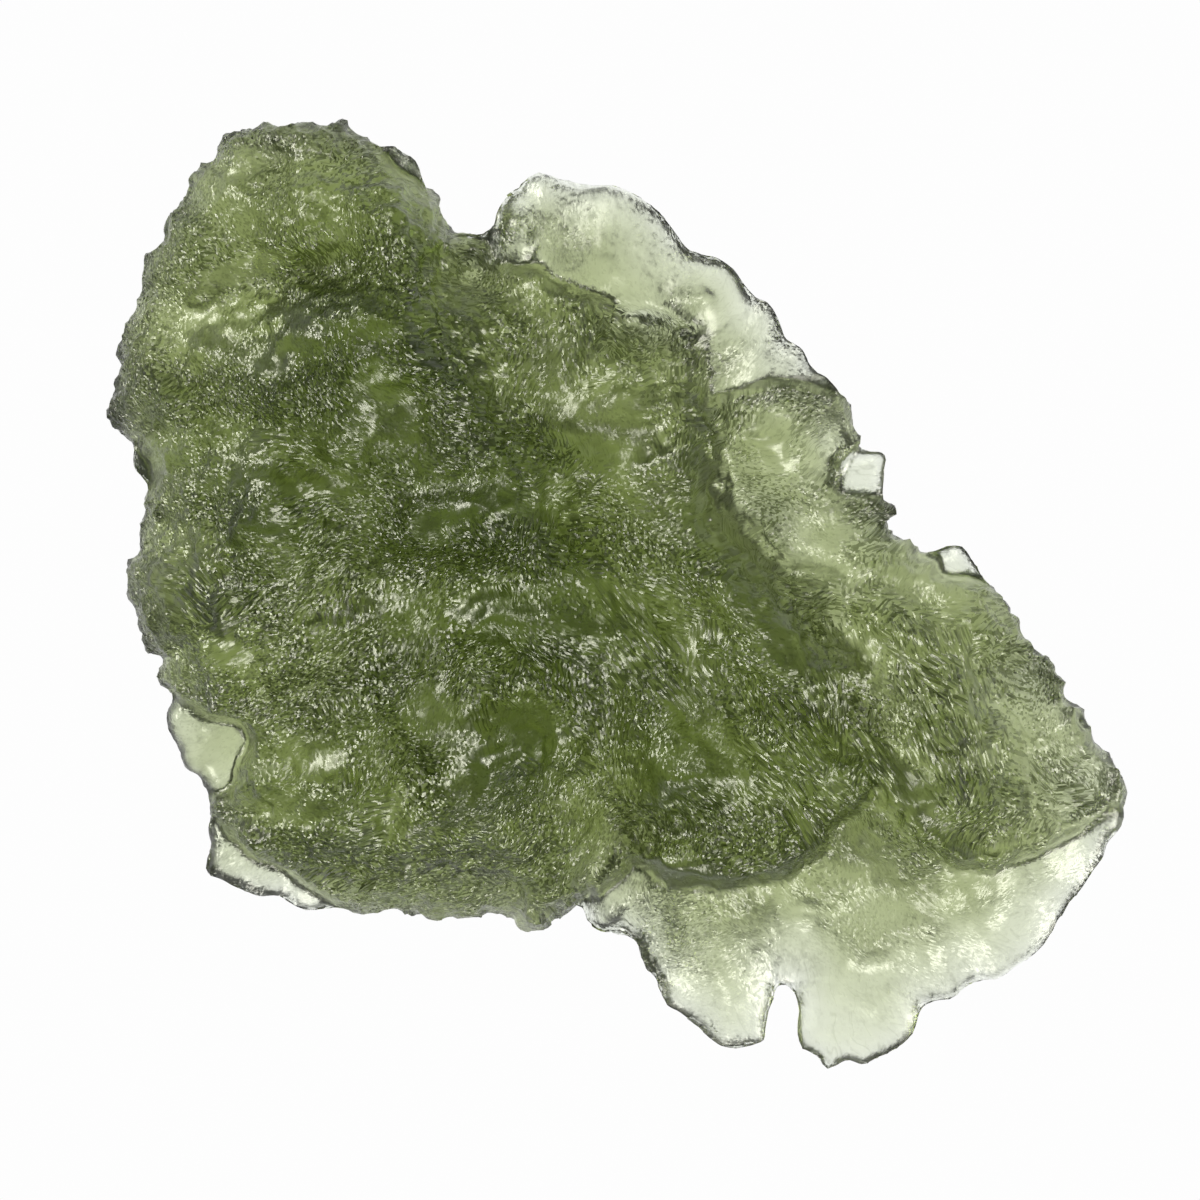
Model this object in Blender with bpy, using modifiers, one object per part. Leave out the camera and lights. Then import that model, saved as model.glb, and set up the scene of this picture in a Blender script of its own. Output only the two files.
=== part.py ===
"""A moldavite: one flat, jagged fragment of natural green glass, etched and pitted all over.

The stone lies on its underside with its broad sculpted face up. +X runs along its longest side,
+Y across it and +Z up, and the origin is on the resting surface under the middle of the stone.
Lengths are in metres. The outline and the places on the faces are read in pixels of a view from
straight above, x to the right and y down, and become metres through the stone's real width.

The solid is the flat outline, voxel remeshed into an even skin, whose upper and lower faces are
then moved to their heights: a thick crown, thin ledges and flanges beyond its edge, dishes,
lumps and creases, and small hollows whose sharp crests run outwards from the middle.
"""

import bpy
import bmesh
import numpy as np

MM = 0.001

# Real size of the stone
STONE_WIDTH = 36.0 * MM
CROWN_RIM_THICKNESS = 3.9 * MM
CROWN_MIDDLE_THICKNESS = 8.3 * MM
CROWN_SHOULDER = 5.0 * MM
CROWN_STEP_WIDTH = 0.55 * MM
EDGE_THICKNESS = 0.35 * MM
EDGE_ROUNDING = 0.32
EDGE_LEVEL = 0.42
EDGE_LEVEL_WANDER = 0.16
EDGE_WANDER_LENGTH = 6.0 * MM

# Underside: a small flat spot to rest on, and a shallow bowl rising around it
REST_SPOT = (560, 570)
REST_SPOT_LENGTH = 7.6 * MM
REST_SPOT_WIDTH = 6.0 * MM
REST_SPOT_TURN = -35.0
BOWL_RISE = 2.4 * MM
BOWL_REACH = 11.0 * MM
BOWL_SINK = 0.12 * MM
WARP = 0.45 * MM
WARP_LENGTH = 15.0 * MM

# Hollows etched into both faces, stretched outwards from the middle of the stone
FLOW_CENTRE = (540, 500)
FLOW_STRETCH = 1.7
LARGE_HOLLOW = 3.3 * MM
LARGE_HOLLOW_DEPTH = 0.78 * MM
SMALL_HOLLOW = 1.5 * MM
SMALL_HOLLOW_DEPTH = 0.3 * MM
FULL_RELIEF_THICKNESS = 4.5 * MM

# Making of the skin
SLAB_THICKNESS = 0.6 * MM
VOXEL = 0.19 * MM
TRIANGLES = 9400

# Extremes of the outline in pixels
OUTLINE_LEFT = 111
OUTLINE_RIGHT = 1127
OUTLINE_TOP = 121
OUTLINE_BOTTOM = 1072

# The outline, clockwise from the highest tooth on the upper left
TOP_SHOULDER = [
    (341, 121), (350, 131), (360, 137), (372, 140), (380, 149), (395, 146), (401, 154),
    (415, 160), (421, 170), (424, 184), (437, 199), (441, 212), (447, 226), (453, 235),
]
UPPER_LEDGE = [
    (462, 237), (483, 238), (493, 227), (497, 212), (505, 200), (520, 190), (530, 176),
    (541, 173), (553, 175), (561, 181), (581, 187), (605, 184), (626, 190), (642, 199),
    (655, 210), (671, 226), (677, 239), (692, 253), (706, 257), (722, 260), (732, 267),
    (739, 276), (747, 291), (754, 300), (769, 303), (777, 315), (782, 329), (784, 341),
]
RIGHT_STEPS = [
    (801, 346), (807, 357), (813, 370), (829, 378), (836, 386), (841, 398), (851, 404),
    (854, 425), (860, 440), (857, 452), (871, 451), (888, 452), (886, 464), (883, 476),
    (884, 488), (882, 498), (896, 508), (888, 518), (885, 531), (888, 538), (911, 538),
    (912, 546), (925, 555), (940, 548), (957, 543), (965, 549), (973, 560), (985, 580),
]
RIGHT_RIM = [
    (1000, 598), (1010, 613), (1019, 624), (1026, 637), (1032, 643), (1037, 655), (1047, 661),
    (1056, 673), (1063, 683), (1066, 701), (1079, 707), (1085, 722), (1093, 736), (1101, 748),
    (1111, 762), (1120, 769), (1122, 780), (1127, 790), (1123, 801), (1125, 813), (1121, 829),
    (1106, 841), (1101, 860),
]
FLANGE = [
    (1090, 875), (1079, 891), (1068, 904), (1059, 918), (1052, 932), (1042, 947), (1029, 958),
    (1011, 970), (996, 981), (980, 979), (967, 986), (954, 998), (923, 1003), (917, 1020),
    (914, 1034), (904, 1045), (890, 1052), (866, 1065), (846, 1060), (825, 1072), (820, 1057),
    (800, 1049), (796, 1030), (799, 1010), (793, 986),
]
TONGUE = [
    (784, 986), (776, 982), (774, 997), (767, 1015), (765, 1042), (742, 1047), (722, 1048),
    (711, 1040), (702, 1028), (680, 1014), (666, 1006), (661, 991), (655, 976), (643, 964),
    (638, 943), (620, 930), (602, 931), (594, 927), (587, 914),
]
BOTTOM_RIM = [
    (581, 901), (569, 912), (551, 914), (549, 929), (534, 932), (520, 926), (514, 916),
    (499, 914), (483, 913), (468, 920), (452, 916), (437, 919), (413, 910), (387, 909),
    (359, 909), (331, 907), (311, 911), (298, 908), (282, 896), (260, 897), (232, 884),
    (207, 873),
]
LOWER_LEDGES = [
    (211, 846), (207, 829), (216, 819), (208, 804), (210, 790), (201, 776), (187, 770),
    (178, 746), (169, 727), (167, 712), (176, 696), (162, 682), (161, 670), (166, 660),
]
LEFT_RIM = [
    (152, 650), (142, 630), (137, 615), (132, 600), (134, 586), (129, 566), (139, 556),
    (141, 542), (146, 526), (145, 512), (147, 497), (152, 488), (146, 480), (137, 472),
    (134, 460), (137, 446), (126, 438), (112, 424), (112, 411), (117, 392), (121, 365),
    (122, 345), (126, 325), (138, 307), (145, 294), (140, 278), (145, 260), (157, 252),
    (166, 238), (166, 218), (187, 199), (189, 179), (204, 168), (215, 162), (218, 150),
    (230, 137), (251, 127), (274, 130), (298, 124), (325, 127),
]

# Edge of the thick crown. Where it lies outside the outline the crown reaches the rim,
# and where it lies inside, a thinner ledge, chip or flange runs on beyond it
CROWN_TOP = [
    (60, 60), (372, 100), (378, 148), (386, 168), (397, 182), (412, 187), (428, 191),
    (458, 190), (470, 215), (461, 240), (482, 243), (489, 253), (500, 267), (520, 273),
    (540, 270), (546, 281), (556, 290), (572, 297), (598, 305), (625, 304), (640, 311),
    (655, 314), (668, 311), (680, 318), (690, 323), (697, 345), (701, 360), (699, 382),
    (702, 408), (720, 399), (741, 392), (760, 388), (780, 384), (800, 387), (824, 396),
    (846, 398), (880, 410),
]
CROWN_RIGHT = [
    (872, 440), (857, 443), (845, 456), (838, 472), (834, 486), (832, 498), (852, 501),
    (878, 500), (896, 495), (930, 520), (928, 555), (936, 565), (931, 577), (950, 583),
    (968, 585), (990, 587), (1020, 580), (1170, 690), (1170, 800), (1107, 806), (1075, 827),
    (1046, 841), (993, 863), (957, 863), (915, 838), (888, 802),
]
CROWN_BOTTOM = [
    (875, 774), (866, 790), (850, 813), (838, 815), (825, 831), (818, 846), (804, 857),
    (779, 872), (752, 872), (725, 881), (700, 876), (671, 878), (654, 863), (632, 856),
    (622, 871), (608, 882), (598, 894), (586, 891), (576, 905), (565, 960), (350, 950),
    (338, 901), (325, 890), (310, 880), (290, 863), (262, 853), (240, 834), (222, 820),
    (195, 812),
]
CROWN_LEFT = [
    (207, 801), (225, 797), (240, 786), (245, 762), (257, 742), (254, 723), (240, 716),
    (213, 712), (200, 703), (183, 694), (168, 688), (130, 690), (90, 640), (90, 505),
    (120, 500), (151, 491), (160, 479), (157, 456), (140, 448), (110, 447), (70, 430),
]

# Ledge gauge points: x, y, thickness and the lift of the underside there, in millimetres
LEDGE_GAUGES = [
    (405, 165, 0.6, 2.6), (475, 238, 1.0, 1.6), (535, 190, 0.9, 1.7), (520, 235, 2.0, 1.5),
    (560, 260, 2.5, 1.2), (600, 215, 1.5, 1.6), (640, 250, 1.9, 1.4), (665, 228, 1.0, 1.6),
    (650, 295, 2.5, 1.0), (715, 275, 1.1, 1.5), (700, 300, 2.1, 1.2), (755, 320, 1.0, 1.4),
    (725, 355, 2.4, 0.9), (760, 375, 1.2, 1.2), (815, 370, 0.5, 1.8), (868, 470, 0.5, 1.9),
    (955, 563, 0.5, 1.7), (1110, 838, 1.0, 0.9), (1085, 860, 0.7, 0.7), (1040, 858, 1.9, 0.4),
    (868, 815, 5.4, 0.0), (895, 825, 4.8, 0.0), (960, 885, 2.8, 0.2), (900, 860, 3.9, 0.0),
    (1055, 905, 0.6, 0.6), (1020, 930, 0.9, 0.5),
    (900, 905, 2.8, 0.1), (960, 965, 0.9, 0.4), (860, 925, 2.5, 0.2), (880, 985, 1.3, 0.4),
    (850, 1035, 0.8, 0.5), (810, 1030, 0.6, 0.6), (900, 1030, 0.8, 0.5), (820, 880, 3.6, 0.0),
    (800, 940, 1.2, 0.7), (785, 975, 0.6, 1.0), (740, 905, 3.9, 0.0), (690, 900, 4.4, 0.0),
    (730, 960, 2.2, 0.3), (745, 1030, 0.9, 0.6), (690, 1000, 0.8, 0.6), (650, 950, 2.3, 0.5),
    (615, 905, 3.5, 0.5), (535, 922, 0.7, 1.4), (300, 893, 0.9, 0.9), (250, 870, 0.9, 0.8),
    (215, 850, 1.4, 0.8), (225, 745, 2.1, 0.9), (185, 730, 1.5, 1.0), (165, 675, 1.5, 1.2),
    (140, 465, 1.1, 1.6),
]

# How softly the gauge points blend: square millimetres, and power of the nearness
GAUGE_SOFTNESS = 0.5
GAUGE_FALLOFF = 1.7

# Forms of the upper face: x, y, half length, half width, turn in degrees and height.
# Lengths are in millimetres, a turn of 0 lies along +X, and a negative height is a dish
UPPER_FORMS = [
    (455, 470, 5.2, 3.6, -65, 1.25), (500, 515, 2.6, 1.8, -30, 0.55), (440, 345, 2.2, 1.5, 80, 0.55),
    (612, 405, 3.7, 2.1, -42, -1.35), (560, 350, 1.6, 1.2, 30, -0.35), (690, 375, 1.7, 0.8, -80, 0.8),
    (778, 445, 2.3, 1.7, -75, -1.8), (820, 425, 1.2, 1.2, 90, -0.9), (745, 520, 2.2, 1.2, -30, 0.35),
    (225, 312, 2.9, 1.5, 18, -1.35), (262, 165, 2.2, 1.6, 40, -0.8), (305, 400, 1.7, 1.0, 15, 0.5),
    (400, 230, 2.0, 1.2, -60, 0.45), (290, 480, 3.0, 1.4, 0, 0.4), (345, 560, 1.8, 0.9, 70, -0.45),
    (590, 640, 2.4, 1.5, -15, 0.75), (555, 700, 1.6, 1.0, -50, -0.45), (660, 600, 2.2, 1.2, -20, -0.35),
    (480, 735, 2.0, 1.0, 85, -0.5), (520, 740, 2.0, 0.8, 88, 0.6), (395, 660, 2.6, 0.8, 55, 0.45),
    (830, 690, 4.4, 2.2, -50, 0.85), (700, 700, 2.6, 1.0, -55, -0.4), (910, 585, 1.6, 1.1, -30, -1.1),
    (900, 790, 1.6, 1.1, -45, -0.7), (820, 545, 1.8, 1.3, -60, -0.9), (1010, 700, 2.6, 1.3, -50, -0.9),
    (1080, 780, 1.8, 1.2, -60, -0.8), (945, 670, 2.6, 0.6, -52, 0.45), (860, 620, 2.2, 0.7, -35, 0.4),
    (600, 830, 1.2, 2.4, 0, -0.8), (500, 850, 1.3, 0.8, 0, 0.4), (370, 850, 3.2, 0.9, -8, 0.55),
    (230, 620, 1.6, 2.2, 0, 0.45), (300, 700, 2.4, 1.2, 20, -0.5), (180, 540, 1.8, 1.4, 0, -0.6),
    (195, 440, 1.8, 0.8, -10, 0.4), (740, 860, 2.2, 0.7, -5, 0.35), (650, 790, 1.4, 2.2, 10, 0.4),
    (790, 950, 1.6, 1.0, 90, -0.5), (1030, 810, 1.1, 0.8, -50, 0.3),
    (665, 335, 2.4, 1.2, -40, -1.5), (755, 400, 1.6, 2.2, -60, -1.0), (775, 525, 1.8, 1.5, -60, -2.1),
    (840, 600, 3.0, 1.4, -50, -1.2), (895, 715, 2.8, 1.9, -50, -1.9), (1050, 770, 3.2, 1.6, -55, -1.3),
    (850, 455, 1.2, 0.9, -60, -1.0), (520, 745, 2.0, 1.5, 0, 0.8), (380, 320, 1.8, 1.2, 60, 0.7),
    (235, 570, 1.6, 1.2, 0, 0.6), (300, 275, 1.8, 0.8, 10, -1.0), (480, 278, 1.2, 1.0, 0, -1.2),
    (490, 385, 1.6, 1.2, -60, -0.7), (650, 325, 1.8, 0.8, -10, -1.4), (125, 430, 1.2, 0.8, 0, -1.0),
    (740, 500, 1.9, 1.0, -60, -1.6), (850, 500, 1.4, 0.8, -60, -0.8), (835, 625, 1.0, 0.9, 0, -1.0),
    (930, 630, 1.2, 0.8, -50, -0.7), (1025, 680, 1.4, 0.9, -60, -1.1), (870, 722, 1.4, 1.0, 0, -0.8),
    (1030, 820, 1.6, 1.0, 20, -1.2), (1105, 775, 1.0, 0.9, 0, -1.1), (990, 775, 1.6, 1.0, 0, -0.6),
    (590, 525, 1.6, 0.8, -20, -0.8), (600, 425, 2.0, 1.0, -45, -0.6), (430, 575, 2.4, 0.9, 0, -0.5),
    (500, 750, 1.8, 1.3, 40, 1.1), (680, 755, 1.2, 1.4, 0, 0.8), (775, 450, 0.8, 1.0, 0, 0.5),
    (265, 525, 1.6, 0.9, 0, 0.9), (350, 340, 1.6, 1.6, 0, 0.9), (500, 528, 1.4, 0.8, 0, 0.7),
    (650, 825, 1.4, 0.8, 0, -1.5), (450, 880, 1.8, 0.7, 0, -0.7), (325, 880, 1.2, 0.5, 0, -1.2),
    (575, 520, 1.2, 0.9, 0, -1.0), (720, 525, 1.3, 0.9, -50, -0.9), (775, 578, 1.1, 0.8, -50, -0.9),
    (828, 630, 1.1, 0.8, -40, -1.2), (872, 525, 0.8, 0.7, -60, -0.9), (968, 580, 0.9, 0.7, -50, -0.8),
    (1032, 672, 1.0, 0.7, -60, -1.2), (850, 722, 1.6, 0.9, 0, -1.0), (1010, 775, 2.2, 0.8, -10, -0.7),
    (990, 828, 2.8, 0.9, 5, -1.0), (500, 885, 1.6, 0.7, 0, -1.0), (645, 330, 1.5, 0.8, -20, -0.9),
    (680, 378, 1.0, 0.8, -60, -0.8), (725, 450, 1.4, 0.6, 90, -0.6), (828, 440, 1.2, 0.6, -80, -0.8),
    (555, 425, 1.4, 0.8, 0, -0.8), (478, 272, 0.9, 0.8, 0, -1.3), (325, 275, 1.2, 0.8, 0, -1.2),
    (275, 170, 1.0, 0.7, 0, -1.0), (172, 378, 0.9, 0.9, 0, -0.8), (275, 625, 1.0, 0.8, 0, -0.6),
    (375, 378, 1.1, 0.9, 0, 0.6), (272, 500, 1.2, 1.3, 0, 1.1), (575, 825, 0.9, 0.9, 0, 0.9),
    (505, 625, 1.4, 0.9, 0, 1.0), (710, 775, 1.4, 0.8, 0, 1.1), (275, 775, 0.9, 0.9, 0, 1.0),
    (350, 800, 1.2, 1.0, 0, 0.5),
]

# Forms of the underside, guessed: a positive height is a dish pressed up into the stone
UNDER_FORMS = [
    (330, 300, 3.4, 2.0, 35, 1.0), (300, 640, 2.8, 1.8, -20, 0.9), (420, 820, 2.6, 1.3, 5, 0.8),
    (760, 520, 3.0, 1.7, -45, 0.9), (930, 720, 3.2, 1.7, -50, 1.0), (700, 860, 2.2, 1.4, 20, 0.7),
    (470, 330, 2.6, 1.5, 70, 0.8), (200, 430, 2.0, 1.6, 0, -0.5), (1040, 760, 2.0, 1.2, -60, -0.4),
    (820, 780, 1.8, 2.4, 15, -0.6), (380, 190, 2.2, 1.4, -20, -0.5), (250, 820, 1.6, 1.2, 0, -0.3),
]


def plan(points):
    """Pixels of the view from above, as metres about the middle of the outline."""
    pixels = np.array(points, dtype=float)
    metres_per_pixel = STONE_WIDTH / (OUTLINE_RIGHT - OUTLINE_LEFT)
    x = (pixels[:, 0] - (OUTLINE_LEFT + OUTLINE_RIGHT) / 2) * metres_per_pixel
    y = ((OUTLINE_TOP + OUTLINE_BOTTOM) / 2 - pixels[:, 1]) * metres_per_pixel
    return np.column_stack([x, y])


def outline():
    """The whole rim of the stone, in metres."""
    return plan(TOP_SHOULDER + UPPER_LEDGE + RIGHT_STEPS + RIGHT_RIM + FLANGE + TONGUE
                + BOTTOM_RIM + LOWER_LEDGES + LEFT_RIM)


def crown_outline():
    """The edge of the thick crown, in metres."""
    return plan(CROWN_TOP + CROWN_RIGHT + CROWN_BOTTOM + CROWN_LEFT)


def smooth_step(value):
    """0 below 0, 1 above 1 and an S curve between."""
    t = np.clip(value, 0.0, 1.0)
    return t * t * (3.0 - 2.0 * t)


def inward_distance(x, y, loop):
    """Distance from each point to a closed loop, positive inside it and negative outside."""
    nearest = np.full(x.shape, np.inf)
    crossings = np.zeros(x.shape, dtype=int)
    for (ax, ay), (bx, by) in zip(loop, np.roll(loop, -1, axis=0)):
        ex, ey = bx - ax, by - ay
        along = np.clip(((x - ax) * ex + (y - ay) * ey) / (ex * ex + ey * ey), 0.0, 1.0)
        nearest = np.minimum(nearest, np.hypot(x - ax - along * ex, y - ay - along * ey))
        if ay != by:
            spans = (ay > y) != (by > y)
            crossings += spans & (x < ax + (y - ay) * ex / ey)
    return np.where(crossings % 2 == 1, nearest, -nearest)


def form_height(x, y, forms):
    """Sum of soft oval lumps and dishes, each a bell curve across its two half widths."""
    total = np.zeros_like(x)
    centres = plan([form[:2] for form in forms])
    for (cx, cy), (_, _, length, width, turn, height) in zip(centres, forms):
        angle = np.radians(turn)
        along = (x - cx) * np.cos(angle) + (y - cy) * np.sin(angle)
        across = (y - cy) * np.cos(angle) - (x - cx) * np.sin(angle)
        bell = np.exp(-0.7 * ((along / (length * MM)) ** 2 + (across / (width * MM)) ** 2))
        total += height * MM * bell
    return total


def gentle_waves(x, y, wavelength, seed):
    """Four crossing sine waves of random direction and phase, between about -1 and 1."""
    chance = np.random.RandomState(seed)
    total = np.zeros_like(x)
    for angle, phase, stretch in chance.uniform((0.0, 0.0, 0.7), (np.pi, 2 * np.pi, 1.4), (4, 3)):
        along = x * np.cos(angle) + y * np.sin(angle)
        total += np.sin(2 * np.pi * along / (wavelength * stretch) + phase)
    return total / 2.5


def ledge_gauge(x, y):
    """Ledge thickness and lift at each point, weighed from the gauge points by nearness."""
    weights = np.zeros_like(x)
    thickness = np.zeros_like(x)
    lift = np.zeros_like(x)
    centres = plan([gauge[:2] for gauge in LEDGE_GAUGES])
    for (cx, cy), (_, _, gauge_thickness, gauge_lift) in zip(centres, LEDGE_GAUGES):
        weight = 1.0 / (((x - cx) ** 2 + (y - cy) ** 2) / MM ** 2 + GAUGE_SOFTNESS) ** GAUGE_FALLOFF
        weights += weight
        thickness += weight * gauge_thickness * MM
        lift += weight * gauge_lift * MM
    return thickness / weights, lift / weights


def hollow_crests(x, y, pitch, depth, seed):
    """Hollows with sharp crests between them: the height grows with the square of the distance
    to the nearest hollow's middle, measured shorter along the direction away from the flow centre."""
    chance = np.random.RandomState(seed)
    half = STONE_WIDTH * 0.55
    steps = np.arange(-half, half, pitch)
    grid_x, grid_y = np.meshgrid(steps, steps)
    middle_x = (grid_x + chance.uniform(-0.45, 0.45, grid_x.shape) * pitch).ravel()
    middle_y = (grid_y + chance.uniform(-0.45, 0.45, grid_y.shape) * pitch).ravel()
    strength = chance.uniform(0.55, 1.3, middle_x.size)
    centre_x, centre_y = plan([FLOW_CENTRE])[0]
    flow = np.arctan2(middle_y - centre_y, middle_x - centre_x)
    flow += chance.normal(0.0, 0.35, flow.size)
    nearest = np.full(x.shape, np.inf)
    deepness = np.zeros_like(x)
    for mx, my, angle, power in zip(middle_x, middle_y, flow, strength):
        along = (x - mx) * np.cos(angle) + (y - my) * np.sin(angle)
        across = (y - my) * np.cos(angle) - (x - mx) * np.sin(angle)
        distance = np.hypot(along / FLOW_STRETCH, across)
        closer = distance < nearest
        nearest = np.where(closer, distance, nearest)
        deepness = np.where(closer, power, deepness)
    bowl = np.clip(nearest / (0.62 * pitch), 0.0, 1.0) ** 2
    return depth * deepness * (bowl - 0.5)


def etched_relief(x, y, seed):
    """Large and small hollows of one face."""
    large = hollow_crests(x, y, LARGE_HOLLOW, LARGE_HOLLOW_DEPTH, seed)
    small = hollow_crests(x, y, SMALL_HOLLOW, SMALL_HOLLOW_DEPTH, seed + 1)
    return large + small


def rest_spot_reach(x, y):
    """0 in the middle of the resting spot, 1 on its oval edge and growing outside it."""
    cx, cy = plan([REST_SPOT])[0]
    angle = np.radians(REST_SPOT_TURN)
    along = (x - cx) * np.cos(angle) + (y - cy) * np.sin(angle)
    across = (y - cy) * np.cos(angle) - (x - cx) * np.sin(angle)
    return np.hypot(along / (REST_SPOT_LENGTH / 2), across / (REST_SPOT_WIDTH / 2))


def face_heights(x, y):
    """Heights of the upper and lower face over each point of the plan."""
    rim = np.maximum(inward_distance(x, y, outline()), 0.0)
    crown = smooth_step(0.5 + inward_distance(x, y, crown_outline()) / CROWN_STEP_WIDTH)
    swell = 1.0 - np.exp(-rim / CROWN_SHOULDER)
    crown_thickness = CROWN_RIM_THICKNESS + (CROWN_MIDDLE_THICKNESS - CROWN_RIM_THICKNESS) * swell
    crown_thickness += form_height(x, y, UPPER_FORMS)
    ledge_thickness, lift = ledge_gauge(x, y)
    thickness = crown * crown_thickness + (1.0 - crown) * ledge_thickness
    relief = np.clip(thickness / FULL_RELIEF_THICKNESS, 0.12, 1.0) ** 1.3
    depth_in = np.clip(rim / np.maximum(EDGE_ROUNDING * thickness, EDGE_THICKNESS), 0.0, 1.0)
    rounding = np.sqrt(1.0 - (1.0 - depth_in) ** 2)

    reach = rest_spot_reach(x, y)
    spread = np.maximum(reach - 1.0, 0.0) * REST_SPOT_LENGTH / 2
    bowl = BOWL_RISE * (1.0 - np.exp(-(spread / BOWL_REACH) ** 1.5))
    away = smooth_step((reach - 1.0) / 0.8)
    bowl += WARP * away * bowl / BOWL_RISE * gentle_waves(x, y, WARP_LENGTH, 5)
    hollows = etched_relief(x, y, 37) * 0.8 - form_height(x, y, UNDER_FORMS)
    under = bowl - BOWL_SINK * (1.0 - away) - away * relief * hollows
    under += (1.0 - crown) * lift

    edge_level = EDGE_LEVEL + EDGE_LEVEL_WANDER * gentle_waves(x, y, EDGE_WANDER_LENGTH, 8)
    lower = under + edge_level * thickness * (1.0 - rounding)
    upper = under + thickness - (1.0 - edge_level) * thickness * (1.0 - rounding)
    upper += relief * rounding * etched_relief(x, y, 11)
    lower = np.maximum(lower, 0.0)
    upper = np.maximum(upper, lower + EDGE_THICKNESS)
    return upper, lower


def outline_slab():
    """The flat outline as a thin closed slab, centred on z = 0."""
    curve = bpy.data.curves.new("stone_outline", "CURVE")
    curve.dimensions = "2D"
    curve.fill_mode = "BOTH"
    curve.extrude = SLAB_THICKNESS / 2
    rim = outline()
    spline = curve.splines.new("POLY")
    spline.points.add(len(rim) - 1)
    for point, (x, y) in zip(spline.points, rim):
        point.co = (x, y, 0.0, 1.0)
    spline.use_cyclic_u = True
    holder = bpy.data.objects.new("stone_outline", curve)
    bpy.context.scene.collection.objects.link(holder)
    bpy.context.view_layer.update()
    mesh = bpy.data.meshes.new_from_object(holder.evaluated_get(bpy.context.evaluated_depsgraph_get()))
    bpy.data.objects.remove(holder)
    weld_points(mesh)
    return mesh


def weld_points(mesh):
    """Join the loose caps and walls of a mesh into one closed skin with outward faces."""
    work = bmesh.new()
    work.from_mesh(mesh)
    bmesh.ops.remove_doubles(work, verts=work.verts, dist=0.001 * MM)
    bmesh.ops.recalc_face_normals(work, faces=work.faces)
    work.to_mesh(mesh)
    work.free()


def finished_mesh(stone):
    """The stone's mesh with its modifiers carried out."""
    bpy.context.view_layer.update()
    return bpy.data.meshes.new_from_object(stone.evaluated_get(bpy.context.evaluated_depsgraph_get()))


def replace_mesh(stone, mesh):
    """Give the stone a finished mesh and drop the modifiers that made it."""
    stone.modifiers.clear()
    stone.data = mesh


def even_skin(stone):
    """Remesh the slab into small even faces."""
    remesh = stone.modifiers.new("even skin", "REMESH")
    remesh.mode = "VOXEL"
    remesh.voxel_size = VOXEL
    replace_mesh(stone, finished_mesh(stone))


def raise_faces(mesh):
    """Move the skin's points to the heights of the upper and lower face."""
    points = np.empty(len(mesh.vertices) * 3, dtype=np.float32)
    mesh.vertices.foreach_get("co", points)
    points = points.reshape(-1, 3).astype(float)
    level = np.clip(points[:, 2] / SLAB_THICKNESS + 0.5, 0.0, 1.0)
    upper, lower = face_heights(points[:, 0], points[:, 1])
    points[:, 2] = lower + level * (upper - lower)
    mesh.vertices.foreach_set("co", points.astype(np.float32).ravel())
    mesh.update()


def thin_out(stone):
    """Keep the triangles that the form needs, and press the resting spot flat again."""
    stone.data.calc_loop_triangles()
    decimate = stone.modifiers.new("thin out", "DECIMATE")
    decimate.ratio = TRIANGLES / len(stone.data.loop_triangles)
    decimate.use_collapse_triangulate = True
    replace_mesh(stone, finished_mesh(stone))
    work = bmesh.new()
    work.from_mesh(stone.data)
    for vertex in work.verts:
        if vertex.co.z < 0.01 * MM:
            vertex.co.z = 0.0
    bmesh.ops.dissolve_degenerate(work, edges=work.edges, dist=0.001 * MM)
    bmesh.ops.triangulate(work, faces=work.faces)
    bmesh.ops.recalc_face_normals(work, faces=work.faces)
    work.to_mesh(stone.data)
    work.free()


def moldavite_glass():
    """Olive-green natural glass."""
    material = bpy.data.materials.new("moldavite glass")
    material.use_nodes = True
    shader = material.node_tree.nodes["Principled BSDF"]
    shader.inputs["Base Color"].default_value = (0.13, 0.17, 0.06, 1.0)
    shader.inputs["Roughness"].default_value = 0.12
    shader.inputs["Metallic"].default_value = 0.0
    shader.inputs["IOR"].default_value = 1.49
    shader.inputs["Transmission Weight"].default_value = 0.6
    return material


def clear_scene():
    """Remove every object that is already in the scene."""
    for thing in list(bpy.data.objects):
        bpy.data.objects.remove(thing)


def build_stone():
    """The moldavite in its own collection."""
    collection = bpy.data.collections.new("Moldavite")
    bpy.context.scene.collection.children.link(collection)
    stone = bpy.data.objects.new("moldavite", outline_slab())
    collection.objects.link(stone)
    even_skin(stone)
    raise_faces(stone.data)
    thin_out(stone)
    stone.data.name = "moldavite"
    stone.data.materials.clear()
    stone.data.materials.append(moldavite_glass())


clear_scene()
build_stone()
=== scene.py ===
"""Looks of the moldavite: a flat, jagged fragment of olive-green natural glass, lying on its
underside on a plain white floor and seen from straight above.

The stone is one see-through piece. Its skin is the flat outline, remeshed evenly, whose faces are
raised to their heights by formula, then etched with small hollows, and whose ledges are drawn out
to knife edges. The glass takes its colour from plain absorption along the light's way through it,
so the thin ledges come out pale and the thick middle dark, and its base colour adds painted shade
that darkens etched cells, grains and crease lines as crevices would. Lengths are in metres. Places on
the stone are read in pixels of the 1200 by 1200 view from above, x to the right and y down.
"""

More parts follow.
